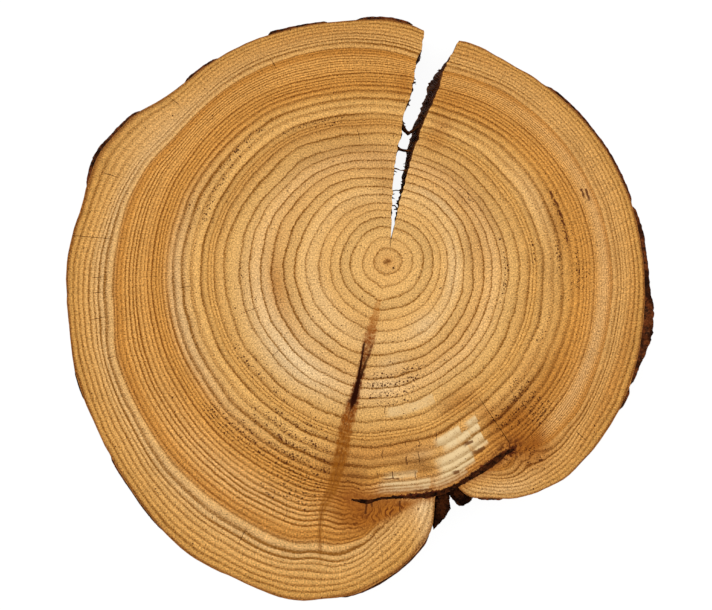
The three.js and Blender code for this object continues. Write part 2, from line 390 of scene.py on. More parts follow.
# Where dots of resin crowd.
RESIN = (
    (376, 89.5, 8, 1.6, 1.68), (358, 92.5, 7, 3.1, 1.44), (362, 84.3, 7, 2.5, 1.2),
    (363, 74, 8, 1.2, 1.08), (355, 59.6, 12, 1.6, 1.32), (366, 62, 10, 1.9, 1.08),
    (398.5, 55, 5, 1.9, 1.2), (335, 79.5, 12, 1.9, 0.72), (313, 90, 6, 6.2, 1.2),
    (318, 112, 8, 6.2, 0.48), (139, 84, 6, 2.2, 1.56), (146, 84, 4, 2.5, 1.2), (123, 76.3, 7, 2.5, 1.32),
    (111.5, 75, 6, 2.5, 1.32), (229.7, 92.3, 7, 3.8, 1.68), (222, 95, 6, 3.1, 1.32),
    (240.5, 91.6, 6, 3.8, 1.56), (250.7, 93, 3.5, 10, 1.44), (232, 81, 10, 5, 0.96),
    (245, 85, 7, 6.2, 1.32), (247, 101, 7, 6.2, 1.2), (243, 75, 9, 5, 0.96), (268, 53, 11, 10, 1.2),
    (280, 52, 5, 7.5, 0.96), (285, 47, 8, 3.8, 0.72), (305.7, 86, 3, 6.2, 1.2), (315, 84, 5, 3.8, 0.96),
    (315, 98, 6, 5, 0.84), (306.5, 117, 3, 11.2, 1.32), (190, 62, 14, 3.8, 0.6), (160, 82, 12, 5, 0.84),
    (215, 71, 14, 3.8, 0.6),
)
# Where the dark lines are faint.
FAINT = (
    (360, 108.5, 45, 6.5, 0.5), (150, 129, 18, 8, 0.75), (118, 128, 20, 8, 0.4), (277, 118, 5, 18, 0.75),
    (293, 115, 7, 12, 0.6), (301, 106, 4, 9, 0.8), (281, 88, 13, 8, 0.4), (350, 122, 40, 12, 0.3),
    (400, 124, 28, 14, 0.45), (360, 90, 40, 14, 0.45), (262, 103, 4, 5, 0.4),
)
# Where the grain swirls about the wound.
SWIRLED = (
    (267, 107, 5, 8, 1), (272.5, 110, 4, 7, 0.9), (306.5, 112, 3.5, 10, 1), (303.5, 105, 3, 8, 0.6),
    (262, 99, 3, 5, 0.5), (298, 106, 5, 5, 0.4),
)

PATCHES = {
    "pale": PALE, "warm": WARM, "brown": BROWN, "rusty": RUSTY, "resin": RESIN, "faint": FAINT,
    "swirled": SWIRLED,
}
MOST_PATCHED = 1.3  # what overlapping patches can come to


def patch(bearing, growth, places):
    """How strongly a place lies in any of the patches."""
    most = 0.0
    for middle, middle_growth, half, half_growth, strength in places:
        if abs(bearing - middle) < 2.5 * half and abs(growth - middle_growth) < 2.5 * half_growth:
            most += strength * bump(bearing, middle, half) * bump(growth, middle_growth, half_growth)
    return min(MOST_PATCHED, most)


def column_bearings():
    """The bearings of the grid's columns, with three at each hairline check."""
    fixed = [LEFT_LIP, RIGHT_LIP, *WOUND, *MOUTH]
    for bearing, inner, outer in HAIRLINES:
        half = math.degrees(HAIRLINE_HALF / ((inner + outer) / 2))
        fixed += [bearing - half, bearing, bearing + half]
    evenly = [LEFT_LIP + COLUMN_STEP * i for i in range(int((RIGHT_LIP - LEFT_LIP) / COLUMN_STEP) + 1)]
    for first, last, step in FINE_STRETCHES:
        evenly = [b for b in evenly if not first <= b <= last]
        evenly += [first + step * i for i in range(int((last - first) / step) + 1)]
    clear = [b for b in evenly if all(abs(b - f) > 0.16 for f in fixed)]
    return sorted(fixed + clear)


def row_growths():
    """The growth of each row of the grid: every ring's edges and one or two rows within it."""
    growths = []
    for width, edge in zip(RING_WIDTHS, RING_EDGES):
        cells = 3 if width > WIDE_RING else 2
        growths += [edge + width * i / cells for i in range(cells)]
    inside = [g for g in growths if g < WOUND_GROWTH - 0.3]
    outside = [g for g in growths if g > WOUND_GROWTH + 0.3]
    return inside + [WOUND_GROWTH, WOUND_GROWTH] + outside + [RIM_GROWTH], len(inside)


def side_height(level):
    """The height of a level: the side's first and last cells are low ones, at the worn edges."""
    cell = 1 / (SIDE_CUTS + 1)
    return THICKNESS * between(level, (0, cell, 1 - cell, 1), (0, SIDE_ARRIS, 1 - SIDE_ARRIS, 1))


def lip_jag(radius, height, side):
    """How far a torn lip of the check stands off its line, in mm."""
    ragged = 0.45 * grain(radius * 0.9, side, height * 0.05) + 0.4 * grain(
        radius * 0.28, side + 5, height * 0.03)
    return ragged * blend(radius, 9, 24) * (1 + 1.4 * (1 - height / THICKNESS))


def check_turn(bearing, radius, level, height):
    """Degrees that the wood at a bearing turns, so that the ends of the bearings lie on the check's lips."""
    from_left, from_right = bearing - LEFT_LIP, RIGHT_LIP - bearing
    if min(from_left, from_right) > CHECK_REACH:
        return 0.0
    to_degrees = math.degrees(1 / max(radius, 1.0))
    if from_left < from_right:
        turn = left_lip(radius) - LEFT_LIP + lip_jag(radius, height, 3) * to_degrees
        return turn * (1 - blend(from_left, 0, CHECK_REACH))
    turn = right_lip(radius) - RIGHT_LIP + lean(radius) * (1 - level)
    turn += lip_jag(radius, height, 9) * to_degrees
    return turn * (1 - blend(from_right, 0, CHECK_REACH))


def split_depth(offset, radius):
    """How deep the stained split is sunk, at an offset from its line."""
    open_part = blend(radius, 34, 44) * (1 - blend(radius, 60, 66))
    return 1.5 * open_part * bump(offset, 0, 0.9) + 0.25 * bump(offset, 0, 0.5) * blend(radius, 64, 70)


def wound_distance(bearing, radius):
    """Distance from the old wound's seam, negative on the pith's side."""
    across = radius - wound(min(max(bearing, WOUND[0]), WOUND[1]))
    past = max(WOUND[0] - bearing, bearing - WOUND[1], 0)
    return math.copysign(math.hypot(across, math.radians(past) * radius), across)


def rolled(bearing, growth, share):
    """The growth outside the wound, where the rings of the healed wood roll round into the seam."""
    if not WOUND[0] < bearing < WOUND[1]:
        return growth
    from_tip = (bearing - WOUND[0]) / (MOUTH[0] - WOUND[0]), (WOUND[1] - bearing) / (WOUND[1] - MOUTH[1])
    closeness = min(1.0, *from_tip)
    at_seam = WOUND_GROWTH + (RIM_GROWTH - WOUND_GROWTH) * closeness**1.2
    turned_in = at_seam + (RIM_GROWTH - at_seam) * min(1.0, max(0.0, share)) ** 0.8
    return growth + (turned_in - growth) * blend(closeness, 0, 0.35)


def saw_wood(materials):
    """Builds the disc: a grid of bearings and growth, extruded to the thickness and laid round the pith."""
    bearings = column_bearings()
    growths, seam_row = row_growths()
    last_column, last_row = len(bearings) - 1, len(growths) - 1
    columns = [Column(bearing) for bearing in bearings]

    def keep(column, row):
        bearing = bearings[int(column)]
        if MOUTH[0] <= bearing < MOUTH[1]:
            return row < seam_row
        return row != seam_row or not WOUND[0] <= bearing < WOUND[1]

    bm, column_of, row_of, level_of = slab_of_cells(last_column, last_row, SIDE_CUTS, keep)
    names = ("bearing", "growth", "year", "split", "wound", *PATCHES, "hairline")
    store = {name: bm.verts.layers.float.new(name) for name in names}
    radii = [[c.radius(g, row > seam_row) for row, g in enumerate(growths)] for c in columns]

    tip_row = next(row for row, radius in enumerate(radii[0]) if radius > CHECK_TIP) - 1
    hidden = []
    for face in bm.faces:
        rows = [round(face_vert[row_of]) for face_vert in face.verts]
        sides = {round(face_vert[column_of]) for face_vert in face.verts}
        if max(rows) == 0 or (len(sides) == 1 and max(rows) <= tip_row and sides <= {0, last_column}):
            hidden.append(face)
    bmesh.ops.delete(bm, geom=hidden, context="FACES")

    for vert in bm.verts:
        column, row, level = round(vert[column_of]), round(vert[row_of]), vert[level_of]
        bearing, growth, radius = bearings[column], growths[row], radii[column][row]
        height = side_height(level)
        on_face = level in (0.0, 1.0)
        turned = bearing + check_turn(bearing, radius, level, height)
        offset = math.radians(turned - split(radius)) * radius
        cracked = any(abs(bearing - b) < 1e-6 and inner <= radius <= outer for b, inner, outer in HAIRLINES)
        if row == last_row:
            radius += 0.3 * grain(bearing * 0.35, height * 0.02, 1) + 0.12 * grain(
                bearing * 2.1, height * 0.06, 2)
            radius -= ARRIS_INSET * on_face * (1 + 0.6 * grain(bearing * 1.3, level, 3))
        if on_face:
            sunk = split_depth(offset, radius) + 0.7 * cracked
            height += -sunk if level == 1.0 else sunk
        vert.co = around(turned, radius, height)
        vert[store["bearing"]] = bearing
        vert[store["growth"]] = growth
        if row > seam_row:
            share = (radii[column][row] - wound(bearing)) / max(0.1, rim(bearing) - wound(bearing))
            vert[store["growth"]] = rolled(bearing, growth, share)
        vert[store["year"]] = year_of(vert[store["growth"]])
        vert[store["split"]] = max(-20.0, min(20.0, offset))
        vert[store["wound"]] = max(-30.0, min(30.0, wound_distance(bearing, radii[column][row])))
        vert[store["hairline"]] = float(cracked)
        for name, places in PATCHES.items():
            vert[store[name]] = patch(bearing, growth, places)

    for face in bm.faces:
        levels = {v[level_of] for v in face.verts}
        if levels == {0.0} or levels == {1.0}:
            face.material_index = 0
        elif min(round(v[row_of]) for v in face.verts) == last_row:
            face.material_index = 1
        else:
            face.material_index = 2
    bmesh.ops.remove_doubles(bm, verts=bm.verts, dist=1e-4)
    for layer_name in ("column", "row"):
        bm.verts.layers.float.remove(bm.verts.layers.float[layer_name])
    return finish_mesh(bm, "sawn_wood", materials, ["wood_disc"])


# ---- the bark ----

# Bark on the rim: CAD node, first and last bearing, and (bearing, thickness) of its outer face.
RIM_BARK = {
    "bark_plate_right": (333, 373, ((333, 0.9), (337, 1.9), (341, 3.6), (345, 4.8), (350, 4), (355, 2.4),
                                    (367, 2), (373, 0.9))),
    "bark_strip_upper_right": (373.6, 408, ((373.6, 0.9), (386, 1), (392, 0.8), (403, 1.1), (408, 0.8))),
    "bark_strip_crown": (84, 97.5, ((84, 0.8), (92, 1.3), (97.5, 0.8))),
    "bark_flake_upper": (104, 118, ((104, 0.8), (112, 0.9), (117, 1.2), (118, 0.9))),
    "bark_flake_upper_left": (130, 138.5, ((130, 0.8), (135, 1.1), (138.5, 0.8))),
    "bark_plate_left_shoulder": (148.5, 166, ((148.5, 0.8), (155, 1.5), (161, 1.8), (166, 0.8))),
    "bark_flake_left": (199, 204.5, ((199, 0.35), (202, 0.5), (204.5, 0.35))),
    "bark_strip_lower_left": (215, 230, ((215, 0.4), (217, 0.7), (222, 0.4), (226, 0.5), (230, 0.35))),
    "bark_strip_left_roll": (262, 278.4, ((262, 0.8), (270, 1), (276, 1.1), (278.4, 1))),
    "bark_strip_right_roll": (290.6, 296, ((290.6, 0.9), (293, 1.1), (296, 0.8))),
    "bark_flake_lower_right": (327.5, 332.4, ((327.5, 0.8), (331, 1.2), (332.4, 0.8))),
}
BARK_CELL = 0.75  # size of the bark's cells, in mm
BARK_RAGGED = 1.6  # how far a piece's torn sides wander, in mm

SHEET_COLUMNS = 150  # the ingrown sheet's cells along the wound
SHEET_ROW = 1.1  # and their height, in mm
SEAM_RADIUS = 98  # mm, about where the wound's seam lies
LUMP_ROWS = 26  # cuts up the side of a lump

# The two lumps of bark in the wound's mouth, as rings of (bearing, radius).
LUMPS = (
    ((281.2, 96.6), (281, 102), (280.4, 107), (279.7, 111.6), (281.4, 109.6), (283, 106.6), (284.3, 104.8),
     (284.7, 100), (284.8, 96.4)),
    ((284.6, 96.2), (285, 100.4), (286.2, 104.4), (287.4, 105), (288.9, 104.3), (289.8, 103),
     (288.6, 100.9), (287.6, 98.4), (287, 95.9)),
)


def scales(along, height, seed):
    """The relief of flaking bark, from 0 between its scales to 1 on the proudest of them."""
    place = Vector((along * 0.2, height * 0.085, seed))
    waver = place * 2.3
    place += Vector([grain(waver.x + shift, waver.y, waver.z) for shift in (0, 31.4, 62.8)]) * 0.35
    near, corners = noise.voronoi(place)
    lift = 0.5 + 0.5 * noise.cell(corners[0] * 40)
    return blend(near[1] - near[0], 0.02, 0.34) * (0.45 + 0.55 * abs(lift))


def strip_bark(name, seed, first, last, profile, materials):
    """Builds one piece of bark on the rim, scaly outside and torn at its sides."""
    thickness = through(profile)
    length = math.radians(last - first) * rim((first + last) / 2)
    across, up = max(4, round(length / BARK_CELL)), round(THICKNESS / BARK_CELL)
    bm, column_of, row_of, level_of = slab_of_cells(across, up, 1)
    for vert in bm.verts:
        share, height = vert[column_of] / across, THICKNESS * vert[row_of] / up
        ragged = BARK_RAGGED * (grain(height * 0.3, seed, 1) + 0.5 * grain(height * 1.1, seed, 2))
        ragged = math.degrees((ragged + 0.4) / rim(first)) * abs(2 * share - 1) ** 4
        bearing = first + (last - first) * share + (ragged if share < 0.5 else -ragged)
        along = math.radians(bearing) * 110
        relief = scales(along, height, seed)
        outer = thickness(bearing) * 0.9 + min(0.7, 0.2 * thickness(bearing)) * (relief - 0.4)
        outer += 0.1 * grain(along * 1.3, height * 0.9, seed)
        side = blend(min(share, 1 - share) * length, 0, 1.6)
        chipped = 0.25 + 0.55 * max(0.0, grain(along * 0.5, vert[row_of] / up, seed + 3)) * vert[level_of]
        depth = vert[level_of] * max(0.25, outer) * (0.35 + 0.65 * side)
        height = min(max(height, chipped), THICKNESS - chipped)
        vert.co = around(bearing, rim(bearing) - 0.12 + depth, height)
    return finish_mesh(bm, name.replace("bark_", "scaly_bark_"), materials, [name])


def bark_lump(ring, seed):
    """A lump of bark standing in the wound's mouth: its outline cut up, extruded and roughened."""
    bm = bmesh.new()
    corners = [bm.verts.new(around(bearing, radius, 0.3)) for bearing, radius in ring]
    bm.faces.new(corners)
    bmesh.ops.triangulate(bm, faces=bm.faces)
    for _ in range(3):
        bmesh.ops.subdivide_edges(bm, edges=bm.edges, cuts=1, use_grid_fill=True)
    made = bmesh.ops.extrude_face_region(bm, geom=bm.faces[:])
    top = [item for item in made["geom"] if isinstance(item, bmesh.types.BMVert)]
    bmesh.ops.translate(bm, verts=top, vec=(0, 0, THICKNESS - 0.6))
    upright = [e for e in bm.edges if abs(e.verts[0].co.z - e.verts[1].co.z) > 1]
    bmesh.ops.subdivide_edges(bm, edges=upright, cuts=LUMP_ROWS, use_grid_fill=True)
    bmesh.ops.recalc_face_normals(bm, faces=bm.faces)
    bm.normal_update()
    for vert in bm.verts:
        x, y, z = vert.co
        rough = 0.55 * grain(x * 0.45, y * 0.45, z * 0.16 + seed) + 0.5 * grain(
            x * 1.2, y * 1.2, z * 0.5 + seed)
        sideways = Vector((vert.normal.x, vert.normal.y, 0))
        vert.co += sideways * (rough - 0.15)
        if 1 < z < THICKNESS - 1:
            continue
        pitted = 1.2 + 1.7 * grain(x * 0.7, y * 0.7, seed) + 0.9 * grain(x * 1.9, y * 1.9, seed + 2)
        vert.co.z += max(0.0, pitted) * (1 if z < 1 else -1)
    return bm


def shut_in_bark(materials):
    """Builds the bark shut into the old wound: a thin sheet down the seam, and two lumps in the mouth."""
    across, up = SHEET_COLUMNS, round(THICKNESS / SHEET_ROW)
    bm, column_of, row_of, level_of = slab_of_cells(across, up, 1)
    for vert in bm.verts:
        bearing = WOUND[0] + 0.3 + (WOUND[1] - WOUND[0] - 0.6) * vert[column_of] / across
        height = 0.25 + (THICKNESS - 0.5) * vert[row_of] / up
        side = 2 * vert[level_of] - 1
        along = math.radians(bearing) * SEAM_RADIUS
        rough = 0.22 * grain(along * 0.8, height * 0.25, side) + 0.12 * grain(
            along * 2.2, height * 0.7, side)
        radius = wound(bearing) + side * (seam_half(bearing) + 0.05 + rough * seam_half(bearing))
        if vert[row_of] in (0, up):
            height += 0.3 * grain(along * 0.7, side * 0.5, vert[row_of])
        vert.co = around(bearing, radius, min(max(height, 0.02), THICKNESS - 0.02))
    bmesh.ops.recalc_face_normals(bm, faces=bm.faces)
    for number, ring in enumerate(LUMPS):
        join(bm, bark_lump(ring, number * 7))
    return finish_mesh(bm, "ingrown_bark_sheet", materials, ["ingrown_bark"], turned_out=True)


# ---- the fibres left across the check ----

# Each sheet of fibres, in mm: [radius on the left lip, radius on the right lip, sag towards the pith,
# height of its middle, height, thickness].
SLATS = (
    (58.2, 59.2, 4, 16, 14, 3), (47.6, 47.2, 0.4, 18, 10, 1.6), (38.9, 38.3, 0.2, 26, 3.4, 0.4),
    (24.2, 22.6, 0, 21, 8, 0.6), (30, 30.6, 0, 16, 5, 0.45),
)
SPLINTER_COUNT = 46


def slat(bm, left_radius, right_radius, sag, middle, height, thickness, seed):
    """A thin sheet of fibres left from lip to lip, ragged above and below."""
    across, up = 12, 10
    sheet, column_of, row_of, level_of = slab_of_cells(across, up, 0)
    for vert in sheet.verts:
        share, rise = vert[column_of] / across, vert[row_of] / up - 0.5
        radius = left_radius + (right_radius - left_radius) * share - sag * (1 - abs(2 * share - 1) ** 1.3)
        z = middle + rise * height * (1 + 0.35 * grain(share * 4, seed, rise) - 0.5 * bump(share, 0.5, 0.3))
        left = left_lip(radius) + 0.8
        right = right_lip(radius) - FULL_TURN + lean(radius) * (1 - z / THICKNESS) - 0.8
        bearing = left + (right - left) * share
        thick = thickness * (0.55 + 0.6 * abs(2 * share - 1) ** 2) * (1 - 0.5 * abs(2 * rise) ** 3)
        radius += 0.5 * grain(share * 3, rise * 2, seed) + (vert[level_of] - 0.5) * thick
        vert.co = around(bearing, radius, z)
    join(bm, sheet)


def splinter(bm, number):
    """A torn sliver standing off one wall of the check, along the grain."""
    right = number % 3 != 0
    radius = 20 + 68 * ((number * 0.618034) % 1)
    length = 5 + 9 * ((number * 0.377) % 1)
    middle = 3 + length / 2 + (THICKNESS - length - 4) * ((number * 0.7548) % 1)
    width = 0.35 + 0.4 * ((number * 0.2893) % 1)
    away = 0.5 + 1.1 * ((number * 0.5327) % 1)
    sliver = bmesh.new()
    bmesh.ops.create_cone(
        sliver, cap_ends=True, segments=5, radius1=width, radius2=width * 0.2, depth=length)
    upright = [e for e in sliver.edges if abs(e.verts[0].co.z - e.verts[1].co.z) > length / 2]
    bmesh.ops.subdivide_edges(sliver, edges=upright, cuts=5, use_grid_fill=True)
    upside_down = -1 if number % 2 else 1
    for vert in sliver.verts:
        share = vert.co.z / length + 0.5
        z = middle + vert.co.z * upside_down
        lip = left_lip(radius)
        if right:
            lip = right_lip(radius) - FULL_TURN + lean(radius) * (1 - z / THICKNESS)
        standing = away * max(0.0, share) ** 1.6 * (1 if right else -1)
        bearing = lip + math.degrees(standing / radius)
        twist = 0.35 * grain(share * 2, number, 5)
        place = Vector(around(bearing, radius + twist, z))
        vert.co = place + Vector((vert.co.x * 0.6, vert.co.y * 1.2, 0))
    join(bm, sliver)


def join(bm, part):
    """Adds a closed part to a bmesh and frees it."""
    mesh = bpy.data.meshes.new("part")
    part.to_mesh(mesh)
    part.free()
    bm.from_mesh(mesh)
    bpy.data.meshes.remove(mesh)


def leave_fibres(materials):
    """Builds the sheets of fibre across the check and the slivers on its walls."""
    bm = bmesh.new()
    for seed, sizes in enumerate(SLATS):
        slat(bm, *sizes, seed * 3)
    for number in range(SPLINTER_COUNT):
        splinter(bm, number)
    return finish_mesh(bm, "check_fibres", materials)


# ---- finishes ----


def paint(red, green, blue):
    """A display colour, 0 to 255 a channel, as the linear colour that a material takes."""

    def linear(value):
        value /= 255
        return value / 12.92 if value <= 0.04045 else ((value + 0.055) / 1.055) ** 2.4

    return (linear(red), linear(green), linear(blue), 1.0)


class Recipe:
    """A material and short ways to add its nodes. A value is a number, a tuple or another node's socket."""

    def __init__(self, name):
        self.material = bpy.data.materials.new(name)
        self.material.use_nodes = True
        self.nodes = self.material.node_tree.nodes
        self.links = self.material.node_tree.links
        self.shader = self.nodes["Principled BSDF"]
        self.shader.inputs["Specular IOR Level"].default_value = 0.05
        self.object_place = self.nodes.new("ShaderNodeTexCoord").outputs["Object"]

    def put(self, socket, value):
        """Sets a socket, or links another to it."""
        if isinstance(value, bpy.types.NodeSocket):
            self.links.new(value, socket)
        else:
            socket.default_value = value

    def math(self, operation, a, b=0.0, clamp=False):
        """A sum on one or two numbers."""
        node = self.nodes.new("ShaderNodeMath")
        node.operation = operation
        node.use_clamp = clamp
        self.put(node.inputs[0], a)
        self.put(node.inputs[1], b)
        return node.outputs[0]

    def vector(self, operation, a, b=(0, 0, 0)):
        """A sum on vectors: a number for a length, and a vector for the rest."""
        node = self.nodes.new("ShaderNodeVectorMath")
        node.operation = operation
        self.put(node.inputs[0], a)
        self.put(node.inputs["Scale"] if operation == "SCALE" else node.inputs[1], b)
        return node.outputs["Value"] if operation == "LENGTH" else node.outputs[0]

    def combine(self, x, y, z):
        """A vector of three numbers."""
        node = self.nodes.new("ShaderNodeCombineXYZ")
        for socket, value in zip(node.inputs, (x, y, z)):
            self.put(socket, value)
        return node.outputs[0]

    def about_pith(self):
        """The place in mm about the pith, at the lower face."""
        node = self.nodes.new("ShaderNodeMapping")
        self.put(node.inputs["Vector"], self.object_place)
        node.inputs["Scale"].default_value = (1 / MM, 1 / MM, 1 / MM)
        node.inputs["Location"].default_value = -PITH
        return node.outputs[0]

    def attribute(self, name):
        """A value that the mesh's vertices hold."""
        node = self.nodes.new("ShaderNodeAttribute")
        node.attribute_name = name
        return node.outputs["Fac"]

    def noise(self, place, scale, detail=2.0, roughness=0.5):
        """Smooth noise about a half."""
        node = self.nodes.new("ShaderNodeTexNoise")
        self.put(node.inputs["Vector"], place)
        node.inputs["Scale"].default_value = scale
        node.inputs["Detail"].default_value = detail
        node.inputs["Roughness"].default_value = roughness
        return node.outputs[0]

    def cloud(self, place, scale):
        """Smooth random vectors."""
        node = self.nodes.new("ShaderNodeTexNoise")
        self.put(node.inputs["Vector"], place)
        node.inputs["Scale"].default_value = scale
        return node.outputs["Color"]

    def cells(self, place, scale):
        """Distance to, and the random colour of, the nearest of a scatter of points."""
        node = self.nodes.new("ShaderNodeTexVoronoi")
        self.put(node.inputs["Vector"], place)
        node.inputs["Scale"].default_value = scale
        return node.outputs["Distance"], node.outputs["Color"]

    def chance(self, number):
        """A random value from 0 to 1 that is the same all over one whole number."""
        node = self.nodes.new("ShaderNodeTexWhiteNoise")
        node.noise_dimensions = "1D"
        self.put(node.inputs["W"], number)
        return node.outputs["Value"]

    def ramp(self, factor, stops):
        """A colour, or a grey where the stops hold numbers, that changes along a factor."""
        node = self.nodes.new("ShaderNodeValToRGB")
        elements = node.color_ramp.elements
        while len(elements) < len(stops):
            elements.new(0.5)
        for element, (position, _) in zip(elements, stops):
            element.position = position
        for element, (_, colour) in zip(elements, stops):
            element.color = colour if isinstance(colour, tuple) else (colour, colour, colour, 1)
        self.put(node.inputs[0], factor)
        return node.outputs[0]

    def remap(self, value, low, high, to_low=0.0, to_high=1.0):
        """A smooth step from to_low at low to to_high at high."""
        node = self.nodes.new("ShaderNodeMapRange")
        node.interpolation_type = "SMOOTHSTEP"
        for socket, item in zip(node.inputs, (value, low, high, to_low, to_high)):
            self.put(socket, item)
        return node.outputs[0]

    def remap_line(self, value, low, high):
        """Runs straight from 0 at low to 1 at high."""
        node = self.nodes.new("ShaderNodeMapRange")
        for socket, item in zip(node.inputs, (value, low, high, 0.0, 1.0)):
            self.put(socket, item)
        return node.outputs[0]

    def spread(self, value, low, high):
        """Stretches a noise, which keeps near a half, to run from low to high."""
        node = self.nodes.new("ShaderNodeMapRange")
        for socket, item in zip(node.inputs, (value, 0.25, 0.75, low, high)):
            self.put(socket, item)
        return node.outputs[0]

    def mix(self, factor, a, b, kind="MIX"):
        """A colour between a and b."""
        node = self.nodes.new("ShaderNodeMix")
        node.data_type = "RGBA"
        node.blend_type = kind
        self.put(node.inputs[0], factor)
        self.put(node.inputs[6], a)
        self.put(node.inputs[7], b)
        return node.outputs[2]

    def mix_value(self, factor, a, b):
        """A number between a and b."""
        node = self.nodes.new("ShaderNodeMix")
        self.put(node.inputs[0], factor)
        self.put(node.inputs[2], a)
        self.put(node.inputs[3], b)
        return node.outputs[0]

    def shade(self, colour, amount):
        """A colour made lighter or darker by a factor."""
        return self.vector("SCALE", colour, amount)

    def total(self, *values):
        """The sum of several values."""
        whole = values[0]
        for value in values[1:]:
            whole = self.math("ADD", whole, value)
        return whole

    def product(self, *values):
        """The product of several values."""
        whole = values[0]
        for value in values[1:]:
            whole = self.math("MULTIPLY", whole, value)
        return whole

    def finish(self, colour, roughness, height, strength, depth):
        """Sets the shader, with bumps of a height up to a depth in mm."""
        self.put(self.shader.inputs["Base Color"], colour)
        self.put(self.shader.inputs["Roughness"], roughness)
        node = self.nodes.new("ShaderNodeBump")
        node.inputs["Strength"].default_value = strength
        node.inputs["Distance"].default_value = depth * MM
        self.put(node.inputs["Height"], height)
        self.links.new(node.outputs[0], self.shader.inputs["Normal"])
        return self.material


# The wood's colour from the pith to the rim, between the dark lines: (growth, display colour).
WOOD_TONES = (
    (0, (210, 150, 80)), (4, (228, 174, 102)), (8, (230, 177, 105)), (14, (233, 182, 110)),
    (26, (231, 178, 106)), (34, (236, 187, 119)), (40, (234, 181, 109)), (48, (229, 175, 105)),
    (54, (233, 183, 117)), (61, (236, 183, 110)), (66.5, (236, 182, 106)), (69, (231, 175, 100)),
    (74, (226, 168, 90)), (80, (234, 180, 105)), (87, (232, 172, 92)), (91, (224, 159, 77)),
    (97, (224, 158, 76)), (102, (227, 164, 85)), (108, (228, 166, 87)), (112.5, (228, 166, 87)),
    (114.5, (218, 152, 72)), (118.3, (211, 142, 60)), (119.5, (235, 178, 102)), (127, (229, 174, 101)),
    (132, (224, 167, 92)), (136, (217, 159, 82)), (137.8, (188, 126, 62)),
)
# How strongly the dark lines show, from the pith to the rim: (growth, strength).
LINE_STRENGTHS = (
    (0, 0.8), (10, 0.7), (20, 0.85), (30, 0.7), (34, 0.6), (38.8, 1), (50, 1), (60, 1), (66, 0.8),
    (74, 0.75), (77.8, 0.85), (82, 0.68), (86, 0.8), (90, 0.95), (95, 0.9), (103, 1), (111, 1),
    (114, 0.8), (118, 0.7), (121, 0.95), (129, 0.9), (137.8, 0.7),
)
# Bleached wood about the wound: [first bearing, last bearing, inner growth, outer growth, strength].
BLEACHED = (
    (286, 294.4, 79, 85.5, 1), (295.2, 299, 79.5, 85, 1), (283.5, 293.2, 86.2, 94.6, 1),
    (294.4, 299.5, 85.6, 91.5, 0.9), (268, 281, 92.4, 97, 0.75), (281, 290, 94.4, 97.2, 0.7),
    (268.5, 277.5, 88.8, 91.4, 0.6), (269, 288, 61.5, 66, 0.4),
)
# Half the width of the dark stain on the wound's pith side, by bearing.
WOUND_STAIN = (
    (260, 0.1), (262, 0.5), (264, 0.9), (267, 0.7), (269, 0.6), (272, 0.9), (276, 1.5), (280, 1.9),
    (284, 1.3), (288, 1.3), (292, 1.6), (296, 2.1), (300, 2), (302, 1.2), (303.6, 1.2), (308, 0.5),
    (309, 0.1),
)
# Short dark cracks: [bearing, inner radius, outer radius, half width], in mm.
TICKS = (
    (264.9, 99.2, 103.8, 0.55), (272.8, 98, 102.6, 0.3), (266.4, 98.5, 100.6, 0.35),
    (268.2, 77, 80.4, 0.18), (279.7, 73.6, 77, 0.18), (275.3, 80, 83.6, 0.28), (277.2, 86.6, 90, 0.2),
    (271.4, 85.8, 88.8, 0.22), (267.3, 86.6, 89, 0.2), (285.4, 73, 76, 0.18), (275.8, 73.8, 76.2, 0.15),
    (268.7, 58.8, 62.2, 0.18), (82, 5, 8.6, 0.16),
)

# Dark notches along the rings: [first bearing, last bearing, radius, half width], in mm.
NOTCHES = (
    (292.4, 295.4, 81.3, 0.8), (293.2, 297.6, 85.5, 0.75), (287, 288.8, 90.6, 0.7), (276, 281, 94.6, 0.4),
    (268, 273, 88.9, 0.3),
)
# Streaks of dark resin along the rings, in the same measures.
RESIN_STREAKS = (
    (376.6, 380.4, 86.3, 0.5), (377.9, 380.8, 84.7, 0.35), (380.9, 383.6, 72.6, 0.4),
    (377.3, 380.7, 73.2, 0.5), (374.4, 376.8, 73.6, 0.45), (371.4, 373.6, 73.6, 0.4),
    (365.5, 370, 73.7, 0.25), (237.5, 239.4, 84.6, 0.4),
)


def along_growth(stops, colour=False):
    """Ramp stops for a list by growth."""
    return [(growth / RIM_GROWTH, paint(*value) if colour else value) for growth, value in stops]


